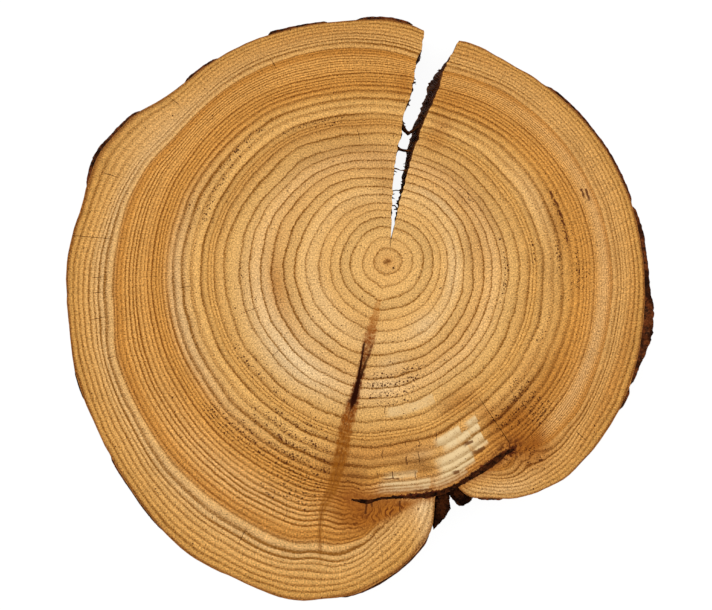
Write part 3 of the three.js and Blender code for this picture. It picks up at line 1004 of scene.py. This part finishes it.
def ring_figure(recipe, flat, heading):
    """The growth rings: how dark a line is, the ring's number, and its age from spring, 0, to autumn, 1."""
    slow = recipe.spread(recipe.noise(flat, 0.05, 2), -0.2, 0.2)
    quick = recipe.spread(recipe.noise(flat, 0.5, 2), -0.045, 0.045)
    fine = recipe.spread(recipe.noise(flat, 1.7, 2), -0.06, 0.06)
    swirl = recipe.math(
        "MULTIPLY", recipe.spread(recipe.noise(flat, 0.16, 3), -3, 3), recipe.attribute("swirled"))
    grown = recipe.total(recipe.attribute("year"), slow, quick, fine, swirl)
    ring, age = recipe.math("FLOOR", grown), recipe.math("FRACT", grown)
    wide = recipe.ramp(
        age, ((0, 1), (0.03, 0.7), (0.07, 0.06), (0.4, 0), (0.73, 0.1), (0.87, 0.42), (0.935, 1)))
    narrow = recipe.ramp(
        age, ((0, 0.9), (0.1, 0.3), (0.19, 0), (0.44, 0.03), (0.64, 0.38), (0.82, 1), (1, 1)))
    line = recipe.mix_value(recipe.remap(grown, 12, 20), wide, narrow)
    turning = recipe.combine(0, 0, recipe.math("MULTIPLY", ring, 3.7))
    fading = recipe.vector("ADD", recipe.vector("SCALE", heading, 2.6), turning)
    fade = recipe.spread(recipe.noise(fading, 1.0, 4, 0.6), 0.5, 1.4)
    own = recipe.remap(recipe.chance(ring), 0, 1, 0.78, 1.2)
    zone = recipe.ramp(
        recipe.math("DIVIDE", recipe.attribute("growth"), RIM_GROWTH), along_growth(LINE_STRENGTHS))
    calm = recipe.math("SUBTRACT", 1, recipe.math("MULTIPLY", recipe.attribute("swirled"), 0.55))
    calm = recipe.math(
        "MULTIPLY", calm,
        recipe.math("SUBTRACT", 1, recipe.math("MULTIPLY", recipe.attribute("faint"), 0.8)))
    return recipe.math("MULTIPLY", recipe.product(line, fade, own, calm), zone, clamp=True), ring, age


def split_stain(recipe, flat, colour):
    """Stains the wood along the split that runs out from the pith."""
    radius = recipe.math("DIVIDE", recipe.vector("LENGTH", flat), 140)

    def by_radius(stops):
        return recipe.ramp(radius, [(r / 140, value) for r, value in stops])

    frayed = recipe.spread(recipe.noise(flat, 0.55, 4, 0.65), -1, 1)
    plain = recipe.attribute("split")
    offset = recipe.math("ABSOLUTE", recipe.math("ADD", plain, frayed))
    half = recipe.math("MULTIPLY", by_radius(
        ((16, 0.1), (24, 0.18), (30, 0.22), (36, 0.24), (44, 0.16), (50, 0.15), (57, 0.22), (62, 0.25),
         (76, 0.28), (90, 0.25), (99, 0.2), (106, 0.11), (128, 0.07))), 10)
    strength = by_radius(
        ((13, 0), (18, 0.6), (30, 0.9), (48, 0.9), (60, 1), (80, 0.95), (95, 0.75), (104, 0.65), (122, 0.5),
         (128, 0.2), (131, 0)))
    halo = recipe.remap(offset, recipe.math("MULTIPLY", half, 1.3), recipe.math("MULTIPLY", half, 0.7))
    speckled = recipe.spread(recipe.noise(flat, 0.85, 4, 0.8), 0.1, 1.5)
    tone = by_radius(((20, paint(178, 104, 26)), (30, paint(148, 74, 10)), (40, paint(118, 50, 8)),
                      (56, paint(120, 52, 8)), (64, paint(146, 72, 6)), (74, paint(152, 84, 10)),
                      (96, paint(156, 92, 20)), (125, paint(152, 92, 24))))
    colour = recipe.mix(
        recipe.math("MULTIPLY", recipe.product(halo, strength), speckled, clamp=True), colour, tone)
    streaks = recipe.noise(
        recipe.combine(recipe.math("MULTIPLY", plain, 1.3), recipe.math("MULTIPLY", radius, 42), 3),
        1.0, 4, 0.7)
    streaked = recipe.product(
        halo, recipe.remap(streaks, 0.47, 0.62),
        by_radius(((56, 0), (62, 0.7), (84, 0.5), (106, 0.25), (118, 0))))
    colour = recipe.mix(streaked, colour, paint(104, 52, 14))
    leg = recipe.math(
        "MULTIPLY", by_radius(((34, 0.165), (38, 0.135), (43, 0.09), (47, 0.05), (50.5, 0))), 10)
    core = recipe.math("MULTIPLY", by_radius(
        ((33, 0), (35, 0.045), (42, 0.045), (47, 0.06), (51, 0.09), (54, 0.12), (58.5, 0.135), (60.5, 0.07),
         (63, 0.02), (72, 0.016), (100, 0.014), (106, 0.03), (122, 0.025), (126, 0))), 10)
    wavering = recipe.math("ADD", plain, recipe.math("MULTIPLY", frayed, 0.3))
    from_leg = recipe.math("ABSOLUTE", recipe.math("SUBTRACT", recipe.math("ABSOLUTE", wavering), leg))
    dark = recipe.remap(from_leg, recipe.math("MULTIPLY", core, 1.35), recipe.math("MULTIPLY", core, 0.6))
    shown = by_radius(
        ((33, 0), (35, 0.9), (40, 1), (61, 1), (66, 0.5), (90, 0.3), (104, 0.5), (120, 0.45), (126, 0)))
    on_left = recipe.mix_value(
        recipe.remap(plain, -0.3, 0.3), 1.0, by_radius(((34, 0.45), (44, 0.7), (50, 1))))
    colour = recipe.mix(
        recipe.product(dark, shown, on_left), colour,
        by_radius(((60, paint(52, 16, 4)), (66, paint(110, 54, 16)))))
    barb = recipe.remap(
        recipe.math("ABSOLUTE", recipe.math("SUBTRACT", recipe.vector("LENGTH", flat), 59.2)), 0.9, 0.35)
    barb = recipe.product(
        barb, recipe.remap(recipe.math("ABSOLUTE", plain), 3.2, 1), recipe.remap(frayed, -0.45, 0.15))
    return recipe.mix(recipe.product(barb, 0.9), colour, paint(64, 26, 8))


def bleach(recipe, ring, uneven, colour, seed, first, last, inner, outer, amount):
    """A patch of bleached wood, soft at its first bearing and stepped from ring to ring at its last."""
    step = recipe.math("SUBTRACT", recipe.chance(recipe.math("ADD", ring, seed + 0.5)), 0.5)
    bearing = recipe.math("ADD", recipe.attribute("bearing"), recipe.math("MULTIPLY", step, 2.2))
    growth = recipe.attribute("growth")
    part = recipe.product(
        recipe.remap(bearing, first - 1.5, first + 2), recipe.remap(bearing, last + 0.2, last - 0.2),
        recipe.remap(growth, inner - 0.8, inner + 0.8), recipe.remap(growth, outer + 0.8, outer - 0.8),
        amount)
    return recipe.mix(recipe.math("MULTIPLY", part, uneven, clamp=True), colour, paint(246, 214, 160))


def stain_wound(recipe, flat, colour, gnarl):
    """The dark stain down the wound's seam, and the brown halo about it."""
    bearing = recipe.attribute("bearing")
    half = recipe.ramp(
        recipe.remap_line(bearing, 255, 310), [((b - 255) / 55, value / 4) for b, value in WOUND_STAIN])
    half = recipe.math("MULTIPLY", half, 4)
    frayed = recipe.spread(recipe.noise(flat, 0.4, 4, 0.7), -0.9, 0.9)
    from_seam = recipe.attribute("wound")
    inside, outside = recipe.math("MULTIPLY", from_seam, -1), recipe.math("MULTIPLY", from_seam, 1.5)
    apart = recipe.math("ADD", recipe.math("MAXIMUM", inside, outside), frayed)
    near = recipe.math("MULTIPLY", recipe.remap(apart, 7, 1.5), recipe.spread(gnarl, 0.1, 1.3), clamp=True)
    colour = recipe.mix(recipe.product(near, 0.7), colour, paint(150, 84, 30))
    edge = recipe.remap(apart, recipe.math("MULTIPLY", half, 1.1), recipe.math("MULTIPLY", half, 0.7))
    colour = recipe.mix(
        edge, colour, recipe.mix(recipe.remap(gnarl, 0.46, 0.6), paint(44, 14, 7), paint(98, 42, 16)))
    past = recipe.product(
        recipe.remap(bearing, 296, 302), recipe.remap(bearing, 311.5, 305),
        recipe.remap(recipe.math("ABSOLUTE", from_seam), 7, 1), recipe.remap(gnarl, 0.49, 0.54))
    colour = recipe.mix(past, colour, paint(84, 36, 10))

    radius = recipe.vector("LENGTH", flat)
    waver = recipe.spread(recipe.noise(flat, 0.25, 3), -0.7, 0.7)
    for place, inner, outer, half_width in TICKS:
        turned = recipe.product(recipe.math("SUBTRACT", bearing, place), radius, math.radians(1))
        across = recipe.math("ABSOLUTE", recipe.math("ADD", turned, waver))
        tick = recipe.product(
            recipe.remap(across, half_width * 1.4, half_width * 0.4),
            recipe.remap(radius, inner - 0.3, inner + 0.3),
            recipe.remap(radius, outer + 0.3, outer - 0.3))
        colour = recipe.mix(recipe.product(tick, 0.9), colour, paint(80, 36, 12))
    for streaks, shade in ((NOTCHES, paint(112, 64, 24)), (RESIN_STREAKS, paint(84, 30, 8))):
        for first, last, middle, half_width in streaks:
            off = recipe.math("ABSOLUTE", recipe.math("ADD", recipe.math("SUBTRACT", radius, middle), waver))
            streak = recipe.product(
                recipe.remap(off, half_width * 1.4, half_width * 0.6),
                recipe.remap(bearing, first - 0.5, first + (last - first) / 3),
                recipe.remap(bearing, last + 0.15, last - 0.15), 0.88)
            colour = recipe.mix(streak, colour, shade)
    return colour


def turned_flat(recipe, flat, degrees):
    """The place about the pith, turned."""
    node = recipe.nodes.new("ShaderNodeMapping")
    recipe.put(node.inputs["Vector"], flat)
    node.inputs["Rotation"].default_value = (0, 0, math.radians(degrees))
    return node.outputs[0]


def dots(recipe, flat, per_mm, most, crowd):
    """Round dots of several sizes, more of them where they crowd."""
    distance, tint = recipe.cells(flat, per_mm)
    size = recipe.vector("LENGTH", tint)
    share = recipe.math("SUBTRACT", most, recipe.math("MULTIPLY", crowd, 0.55))
    radius = recipe.math(
        "ADD",
        recipe.math("MINIMUM", recipe.math("MULTIPLY", recipe.math("SUBTRACT", size, share), 0.9), 0.22),
        0.27)
    disc = recipe.remap(distance, radius, recipe.math("MULTIPLY", radius, 0.55))
    return recipe.product(disc, recipe.math("GREATER_THAN", size, share))


def end_grain(look):
    """The sawn faces: rings, rays, resin, stains and hairline checks."""
    recipe = Recipe("larch_end_grain")
    flat = recipe.vector("MULTIPLY", recipe.about_pith(), (1, 1, 0))
    heading = recipe.vector("NORMALIZE", flat)
    bearing, growth = recipe.attribute("bearing"), recipe.attribute("growth")
    line, ring, age = ring_figure(recipe, flat, heading)

    colour = recipe.ramp(recipe.math("DIVIDE", growth, RIM_GROWTH), along_growth(WOOD_TONES, colour=True))
    colour = recipe.mix(1.0, colour, tuple(look.earlywood) + (1,), "MULTIPLY")
    for name, amount, tint in (
        ("pale", 0.8, paint(242, 208, 158)),
        ("warm", 0.75, paint(190, 122, 48)),
        ("brown", 0.65, paint(166, 110, 52)),
    ):
        colour = recipe.mix(recipe.math("MULTIPLY", recipe.attribute(name), amount), colour, tint)
    panel = recipe.product(
        recipe.remap(bearing, 296.5, 299.5), recipe.remap(bearing, 304.1, 303.8),
        recipe.remap(growth, 70.5, 72), recipe.remap(growth, 93, 90), 0.2)
    colour = recipe.mix(panel, colour, paint(176, 118, 56))

    # The wood's own texture: broad clouds, each ring's tone, rays, pores and grit.
    ring_tone = recipe.remap(recipe.chance(recipe.math("ADD", ring, 0.5)), 0, 1, 0.94, 1.05)
    clouds = recipe.spread(recipe.noise(flat, 0.035, 3), 0.93, 1.07)
    spokes = recipe.vector("ADD", recipe.vector("SCALE", heading, 170), recipe.vector("SCALE", flat, 0.16))
    rays = recipe.noise(spokes, 1.0, 3, 0.65)
    grit = recipe.noise(flat, 1.6, 2, 0.65)
    gnarl = recipe.noise(recipe.vector("ADD", flat, recipe.vector("SCALE", heading, 3)), 0.55, 4, 0.7)
    strands = recipe.noise(
        recipe.combine(recipe.math("MULTIPLY", bearing, 0.7), recipe.math("MULTIPLY", growth, 1.9), 0),
        1.0, 3, 0.7)
    texture = recipe.product(
        ring_tone, clouds, recipe.spread(rays, 0.82, 1.18), recipe.spread(grit, 0.42, 1.58),
        recipe.spread(strands, 0.78, 1.22))
    sawn = recipe.noise(
        recipe.vector("MULTIPLY", turned_flat(recipe, flat, -33), (0.05, 1.5, 0)), 1.0, 3, 0.6)
    right_side = recipe.product(recipe.remap(bearing, 305, 345), recipe.remap(bearing, 425, 370))
    scratch = recipe.mix_value(right_side, 1.0, recipe.spread(sawn, 0.8, 1.2))
    colour = recipe.shade(colour, recipe.product(texture, scratch))
    uneven = recipe.spread(recipe.noise(flat, 0.22, 4, 0.65), 0.55, 1.5)
    rusty = recipe.math(
        "MULTIPLY", recipe.attribute("rusty"), recipe.spread(recipe.noise(flat, 0.3, 4, 0.7), 0.3, 1.2),
        clamp=True)
    colour = recipe.mix(rusty, colour, paint(156, 82, 20))
    for seed, (first, last, inner, outer, amount) in enumerate(BLEACHED):
        colour = bleach(recipe, ring, uneven, colour, seed * 7, first, last, inner, outer, amount)
    swirled = recipe.attribute("swirled")
    carried = recipe.vector("ADD", flat, recipe.vector("SCALE", recipe.cloud(flat, 0.09), 16))
    streaks = recipe.noise(recipe.vector("MULTIPLY", carried, (1.1, 0.3, 0)), 1.0, 4, 0.65)
    colour = recipe.mix(recipe.product(swirled, 0.85), colour, paint(184, 112, 38))
    colour = recipe.mix(
        recipe.product(swirled, recipe.remap(streaks, 0.46, 0.6), 0.9), colour, paint(116, 56, 14))
    broken = recipe.math("MULTIPLY", line, recipe.spread(grit, 1.4, 0.6), clamp=True)
    colour = recipe.mix(broken, colour, recipe.mix(1.0, colour, tuple(look.latewood) + (1,), "MULTIPLY"))

    # Resin: dots that crowd in clusters near the dark lines, and short dashes along the rays.
    cluster = recipe.remap(recipe.noise(flat, 0.06, 3), 0.5, 0.64)
    crowd = recipe.total(recipe.attribute("resin"), recipe.math("MULTIPLY", cluster, 0.25), -0.12)
    late = recipe.remap(age, 0.2, 0.5)
    drops, specks = [
        recipe.product(dots(recipe, flat, per_mm, most, crowd), late)
        for per_mm, most in ((0.85, 1.52), (1.45, 1.4))]
    resin = recipe.math("MAXIMUM", drops, specks)
    stretched = recipe.combine(
        recipe.math("MULTIPLY", bearing, 1.3), recipe.math("MULTIPLY", growth, 0.4), 0)
    dash, dash_tint = recipe.cells(stretched, 1.0)
    dashes = recipe.product(
        recipe.remap(dash, 0.17, 0.08),
        recipe.math("GREATER_THAN", recipe.vector("LENGTH", dash_tint), 1.15),
        recipe.remap(recipe.noise(flat, 0.045, 1), 0.5, 0.6))
    pore, pore_tint = recipe.cells(flat, 1.7)
    pores = recipe.product(
        recipe.remap(pore, 0.42, 0.2),
        recipe.math("GREATER_THAN", recipe.vector("LENGTH", pore_tint), 1.16))
    colour = recipe.mix(
        recipe.product(pores, recipe.remap(age, 0.1, 0.6, 0.2, 0.55)), colour, paint(128, 74, 26))
    colour = recipe.mix(recipe.product(resin, 0.95), colour, paint(74, 28, 6))
    colour = recipe.mix(recipe.product(dashes, 0.75), colour, paint(106, 56, 20))

    colour = split_stain(recipe, flat, colour)
    colour = stain_wound(recipe, flat, colour, gnarl)
    cracks = recipe.remap(recipe.attribute("hairline"), 0.25, 0.95)
    colour = recipe.mix(recipe.product(cracks, recipe.spread(grit, 0.5, 1)), colour, paint(96, 54, 22))
    waver = recipe.spread(recipe.noise(flat, 0.9, 3), -0.7, 0.7)
    core = recipe.vector(
        "LENGTH", recipe.vector("MULTIPLY", recipe.vector("ADD", flat, (0.3, -0.2, 0)), (0.65, 1, 0)))
    colour = recipe.mix(
        recipe.product(recipe.remap(recipe.math("ADD", core, waver), 1.5, 0.6), 0.8), colour,
        paint(124, 70, 22))
    speck = recipe.remap(recipe.vector("LENGTH", recipe.vector("ADD", flat, (-2.2, 2.4, 0))), 0.55, 0.3)
    colour = recipe.mix(speck, colour, paint(70, 34, 12))

    height = recipe.total(
        recipe.math("MULTIPLY", line, 0.6), recipe.math("MULTIPLY", rays, 0.4),
        recipe.math("MULTIPLY", grit, 0.8),
        recipe.math("MULTIPLY", recipe.math("ADD", resin, dashes), -0.8))
    return recipe.finish(colour, recipe.remap(line, 0, 1, 0.74, 0.6), height, 0.4, 0.12)


def barked_side():
    """The side of the slice where its bark has come off: fibrous, with shreds of inner bark."""
    recipe = Recipe("larch_under_bark")
    place = recipe.about_pith()
    fibre = recipe.noise(recipe.vector("MULTIPLY", place, (1.6, 1.6, 0.07)), 1.0, 4, 0.6)
    coarse = recipe.noise(recipe.vector("MULTIPLY", place, (0.35, 0.35, 0.03)), 1.0, 3, 0.55)
    shreds = recipe.noise(recipe.vector("MULTIPLY", place, (0.12, 0.12, 0.035)), 1.0, 4, 0.65)
    colour = recipe.mix(recipe.spread(fibre, 0, 1), paint(158, 100, 52), paint(196, 142, 84))
    colour = recipe.mix(recipe.product(recipe.remap(coarse, 0.45, 0.7), 0.6), colour, paint(132, 78, 40))
    colour = recipe.mix(recipe.product(recipe.remap(shreds, 0.53, 0.6), 0.85), colour, paint(92, 46, 24))
    distance, _ = recipe.cells(recipe.vector("MULTIPLY", place, (0.5, 0.5, 0.09)), 1.0)
    colour = recipe.mix(recipe.product(recipe.remap(distance, 0.1, 0.04), 0.5), colour, paint(70, 36, 18))
    height = recipe.total(
        recipe.math("MULTIPLY", fibre, 0.8), recipe.math("MULTIPLY", coarse, 0.6),
        recipe.math("MULTIPLY", shreds, 0.8))
    return recipe.finish(colour, recipe.spread(fibre, 0.68, 0.82), height, 0.7, 0.35)


def torn_wood():
    """The walls of the check and of the wound: split along the grain and darkened."""
    recipe = Recipe("larch_torn_grain")
    place = recipe.about_pith()
    fibre = recipe.noise(recipe.vector("MULTIPLY", place, (2.2, 2.2, 0.09)), 1.0, 4, 0.65)
    bands = recipe.noise(recipe.vector("MULTIPLY", place, (0.28, 0.28, 0.04)), 1.0, 3, 0.5)
    colour = recipe.mix(recipe.spread(fibre, 0, 1), paint(58, 26, 12), paint(112, 62, 30))
    colour = recipe.mix(recipe.product(recipe.remap(bands, 0.5, 0.68), 0.75), colour, paint(158, 100, 52))
    return recipe.finish(colour, 0.85, recipe.total(fibre, bands), 0.8, 0.5)


def scaly_bark(look, name="scaly_larch_bark", light=1.0):
    """Larch bark: dark red-brown, with paler flaked faces and blackish cracks."""
    recipe = Recipe(name)
    recipe.shader.inputs["Specular IOR Level"].default_value = 0.02
    place = recipe.about_pith()
    crumbs = recipe.noise(place, 1.1, 5, 0.7)
    layers = recipe.noise(recipe.vector("MULTIPLY", place, (0.4, 0.4, 0.13)), 1.0, 4, 0.6)
    distance, _ = recipe.cells(recipe.vector("MULTIPLY", place, (0.24, 0.24, 0.1)), 1.0)
    colour = recipe.mix(
        recipe.remap(layers, 0.36, 0.62), tuple(look.outer_bark) + (1,), tuple(look.inner_bark) + (1,))
    colour = recipe.mix(recipe.product(recipe.remap(crumbs, 0.53, 0.68), 0.75), colour, paint(142, 84, 46))
    colour = recipe.mix(recipe.remap(crumbs, 0.46, 0.36), colour, paint(20, 9, 5))
    colour = recipe.mix(recipe.product(recipe.remap(distance, 0.5, 0.8), 0.7), colour, paint(24, 11, 7))
    colour = recipe.shade(colour, light)
    height = recipe.total(recipe.math("MULTIPLY", crumbs, 1.0), recipe.math("MULTIPLY", layers, 0.8))
    return recipe.finish(colour, recipe.spread(crumbs, 0.8, 0.95), height, 0.5, 0.35)


def floor_finish(look):
    """A plain pale floor that glows a little, so that the check shows pale through the slice."""
    recipe = Recipe("studio_floor")
    shade = tuple(look.floor_colour) + (1,)
    recipe.put(recipe.shader.inputs["Base Color"], shade)
    recipe.put(recipe.shader.inputs["Roughness"], 0.9)
    recipe.put(recipe.shader.inputs["Emission Color"], (1, 1, 1, 1))
    recipe.put(recipe.shader.inputs["Emission Strength"], look.floor_glow)
    seen_from_below = recipe.nodes.new("ShaderNodeNewGeometry").outputs["Backfacing"]
    clear = recipe.nodes.new("ShaderNodeBsdfTransparent").outputs[0]
    either = recipe.nodes.new("ShaderNodeMixShader")
    recipe.put(either.inputs[0], seen_from_below)
    recipe.links.new(recipe.shader.outputs[0], either.inputs[1])
    recipe.links.new(clear, either.inputs[2])
    recipe.links.new(either.outputs[0], recipe.nodes["Material Output"].inputs["Surface"])
    return recipe.material


# ---- the add-on ----


class LarchSliceLook(bpy.types.PropertyGroup):
    """Colours and studio sizes that a user might change."""

    earlywood: bpy.props.FloatVectorProperty(
        name="Earlywood tint", description="Multiplies the wood's colour between the dark lines",
        subtype="COLOR", default=(1.0, 1.0, 1.0), min=0, max=2)
    latewood: bpy.props.FloatVectorProperty(
        name="Latewood tint", description="Multiplies the wood's colour in the dark lines",
        subtype="COLOR", default=(0.36, 0.235, 0.08), min=0, max=1)
    inner_bark: bpy.props.FloatVectorProperty(
        name="Inner bark", description="Colour of the bark where it has flaked",
        subtype="COLOR", default=(0.15, 0.036, 0.009), min=0, max=1)
    outer_bark: bpy.props.FloatVectorProperty(
        name="Outer bark", description="Colour of the bark's weathered face",
        subtype="COLOR", default=(0.032, 0.011, 0.006), min=0, max=1)
    floor_colour: bpy.props.FloatVectorProperty(
        name="Floor", description="Colour of the studio floor",
        subtype="COLOR", default=(0.14, 0.14, 0.14), min=0, max=1)
    floor_glow: bpy.props.FloatProperty(
        name="Floor glow", description="Light that the floor itself gives", default=0.92, min=0, max=5)
    view_width: bpy.props.FloatProperty(
        name="View width", description="Width of what the camera sees, at the upper face",
        default=0.2919, min=0.01, unit="LENGTH")
    lens: bpy.props.FloatProperty(name="Lens", description="Focal length", default=110, min=1, unit="CAMERA")
    light: bpy.props.FloatProperty(
        name="Overhead light", description="Strength of the overhead softbox", default=6.0, min=0,
        unit="POWER")


class LARCH_OT_saw_wood(bpy.types.Operator):
    """Build the disc of wood"""

    bl_idname = "larch.saw_wood"
    bl_label = "Sawn wood"

    def execute(self, context):
        saw_wood([end_grain(context.scene.larch_slice), barked_side(), torn_wood()])
        return {"FINISHED"}


class LARCH_OT_leave_fibres(bpy.types.Operator):
    """Build the fibres left across the check"""

    bl_idname = "larch.leave_fibres"
    bl_label = "Fibres in the check"

    def execute(self, context):
        torn = bpy.data.materials.get("larch_torn_grain") or torn_wood()
        leave_fibres([torn])
        return {"FINISHED"}


class LARCH_OT_shut_in_bark(bpy.types.Operator):
    """Build the bark shut into the old wound"""

    bl_idname = "larch.shut_in_bark"
    bl_label = "Ingrown bark"

    def execute(self, context):
        shut_in_bark([scaly_bark(context.scene.larch_slice, "ingrown_larch_bark", 0.42)])
        return {"FINISHED"}


class LARCH_OT_strip_bark(bpy.types.Operator):
    """Build the remnants of bark on the rim"""

    bl_idname = "larch.strip_bark"
    bl_label = "Bark on the rim"

    def execute(self, context):
        bark = bpy.data.materials.get("scaly_larch_bark") or scaly_bark(context.scene.larch_slice)
        for seed, (name, (first, last, profile)) in enumerate(RIM_BARK.items()):
            strip_bark(name, seed * 5 + 1, first, last, profile, [bark])
        return {"FINISHED"}


class LARCH_OT_set_stage(bpy.types.Operator):
    """Lay the floor, hang the lights and set the camera straight above"""

    bl_idname = "larch.set_stage"
    bl_label = "Floor, lights and camera"

    def execute(self, context):
        scene = context.scene
        look = scene.larch_slice
        bpy.ops.mesh.primitive_plane_add(size=6)
        floor = context.active_object
        floor.name = "studio_floor"
        floor.location.z = -0.2 * MM
        floor.data.materials.append(floor_finish(look))
        middle = (cad_low + cad_high) / 2
        for name, place, size, power in (
            ("overhead_softbox", Vector((-0.15, 0.25, 1.3)), 1.2, look.light),
            ("side_softbox", Vector((0.9, -0.7, 0.9)), 0.8, look.light * 0.25),
        ):
            lamp = bpy.data.lights.new(name, "AREA")
            lamp.shape = "DISK"
            lamp.size = size
            lamp.energy = power
            holder = bpy.data.objects.new(name, lamp)
            scene.collection.objects.link(holder)
            holder.location = middle + place
            holder.rotation_euler = (middle - holder.location).to_track_quat("-Z", "Y").to_euler()
        world = bpy.data.worlds.new("studio")
        world.use_nodes = True
        world.node_tree.nodes["Background"].inputs["Color"].default_value = (1, 1, 1, 1)
        world.node_tree.nodes["Background"].inputs["Strength"].default_value = 0.62
        scene.world = world
        scene.view_settings.view_transform = "Standard"
        camera = bpy.data.cameras.new("camera")
        camera.lens = look.lens
        camera.sensor_width = 36.0
        eye = bpy.data.objects.new("camera", camera)
        scene.collection.objects.link(eye)
        above = look.view_width * look.lens / camera.sensor_width
        eye.location = (
            VIEW_MIDDLE[0] * MM + PITH.x * MM, VIEW_MIDDLE[1] * MM + PITH.y * MM, cad_high.z + above)
        scene.camera = eye
        return {"FINISHED"}


class LARCH_PT_slice(bpy.types.Panel):
    """Lists the steps and the look of the slice"""

    bl_idname = "LARCH_PT_slice"
    bl_label = "Larch slice"
    bl_space_type = "VIEW_3D"
    bl_region_type = "UI"
    bl_category = "Larch slice"

    def draw(self, context):
        for operator in OPERATORS:
            self.layout.operator(operator.bl_idname)
        look = context.scene.larch_slice
        for name in LarchSliceLook.__annotations__:
            self.layout.prop(look, name)


OPERATORS = (
    LARCH_OT_saw_wood, LARCH_OT_leave_fibres, LARCH_OT_shut_in_bark, LARCH_OT_strip_bark,
    LARCH_OT_set_stage)


def register():
    for item in (LarchSliceLook, *OPERATORS, LARCH_PT_slice):
        bpy.utils.register_class(item)
    bpy.types.Scene.larch_slice = bpy.props.PointerProperty(type=LarchSliceLook)


def unregister():
    del bpy.types.Scene.larch_slice
    for item in (LARCH_PT_slice, *reversed(OPERATORS), LarchSliceLook):
        bpy.utils.unregister_class(item)


def main():
    register()
    bpy.ops.larch.set_stage()
    bpy.ops.larch.saw_wood()
    bpy.ops.larch.leave_fibres()
    bpy.ops.larch.shut_in_bark()
    bpy.ops.larch.strip_bark()


if __name__ == "__main__":
    main()
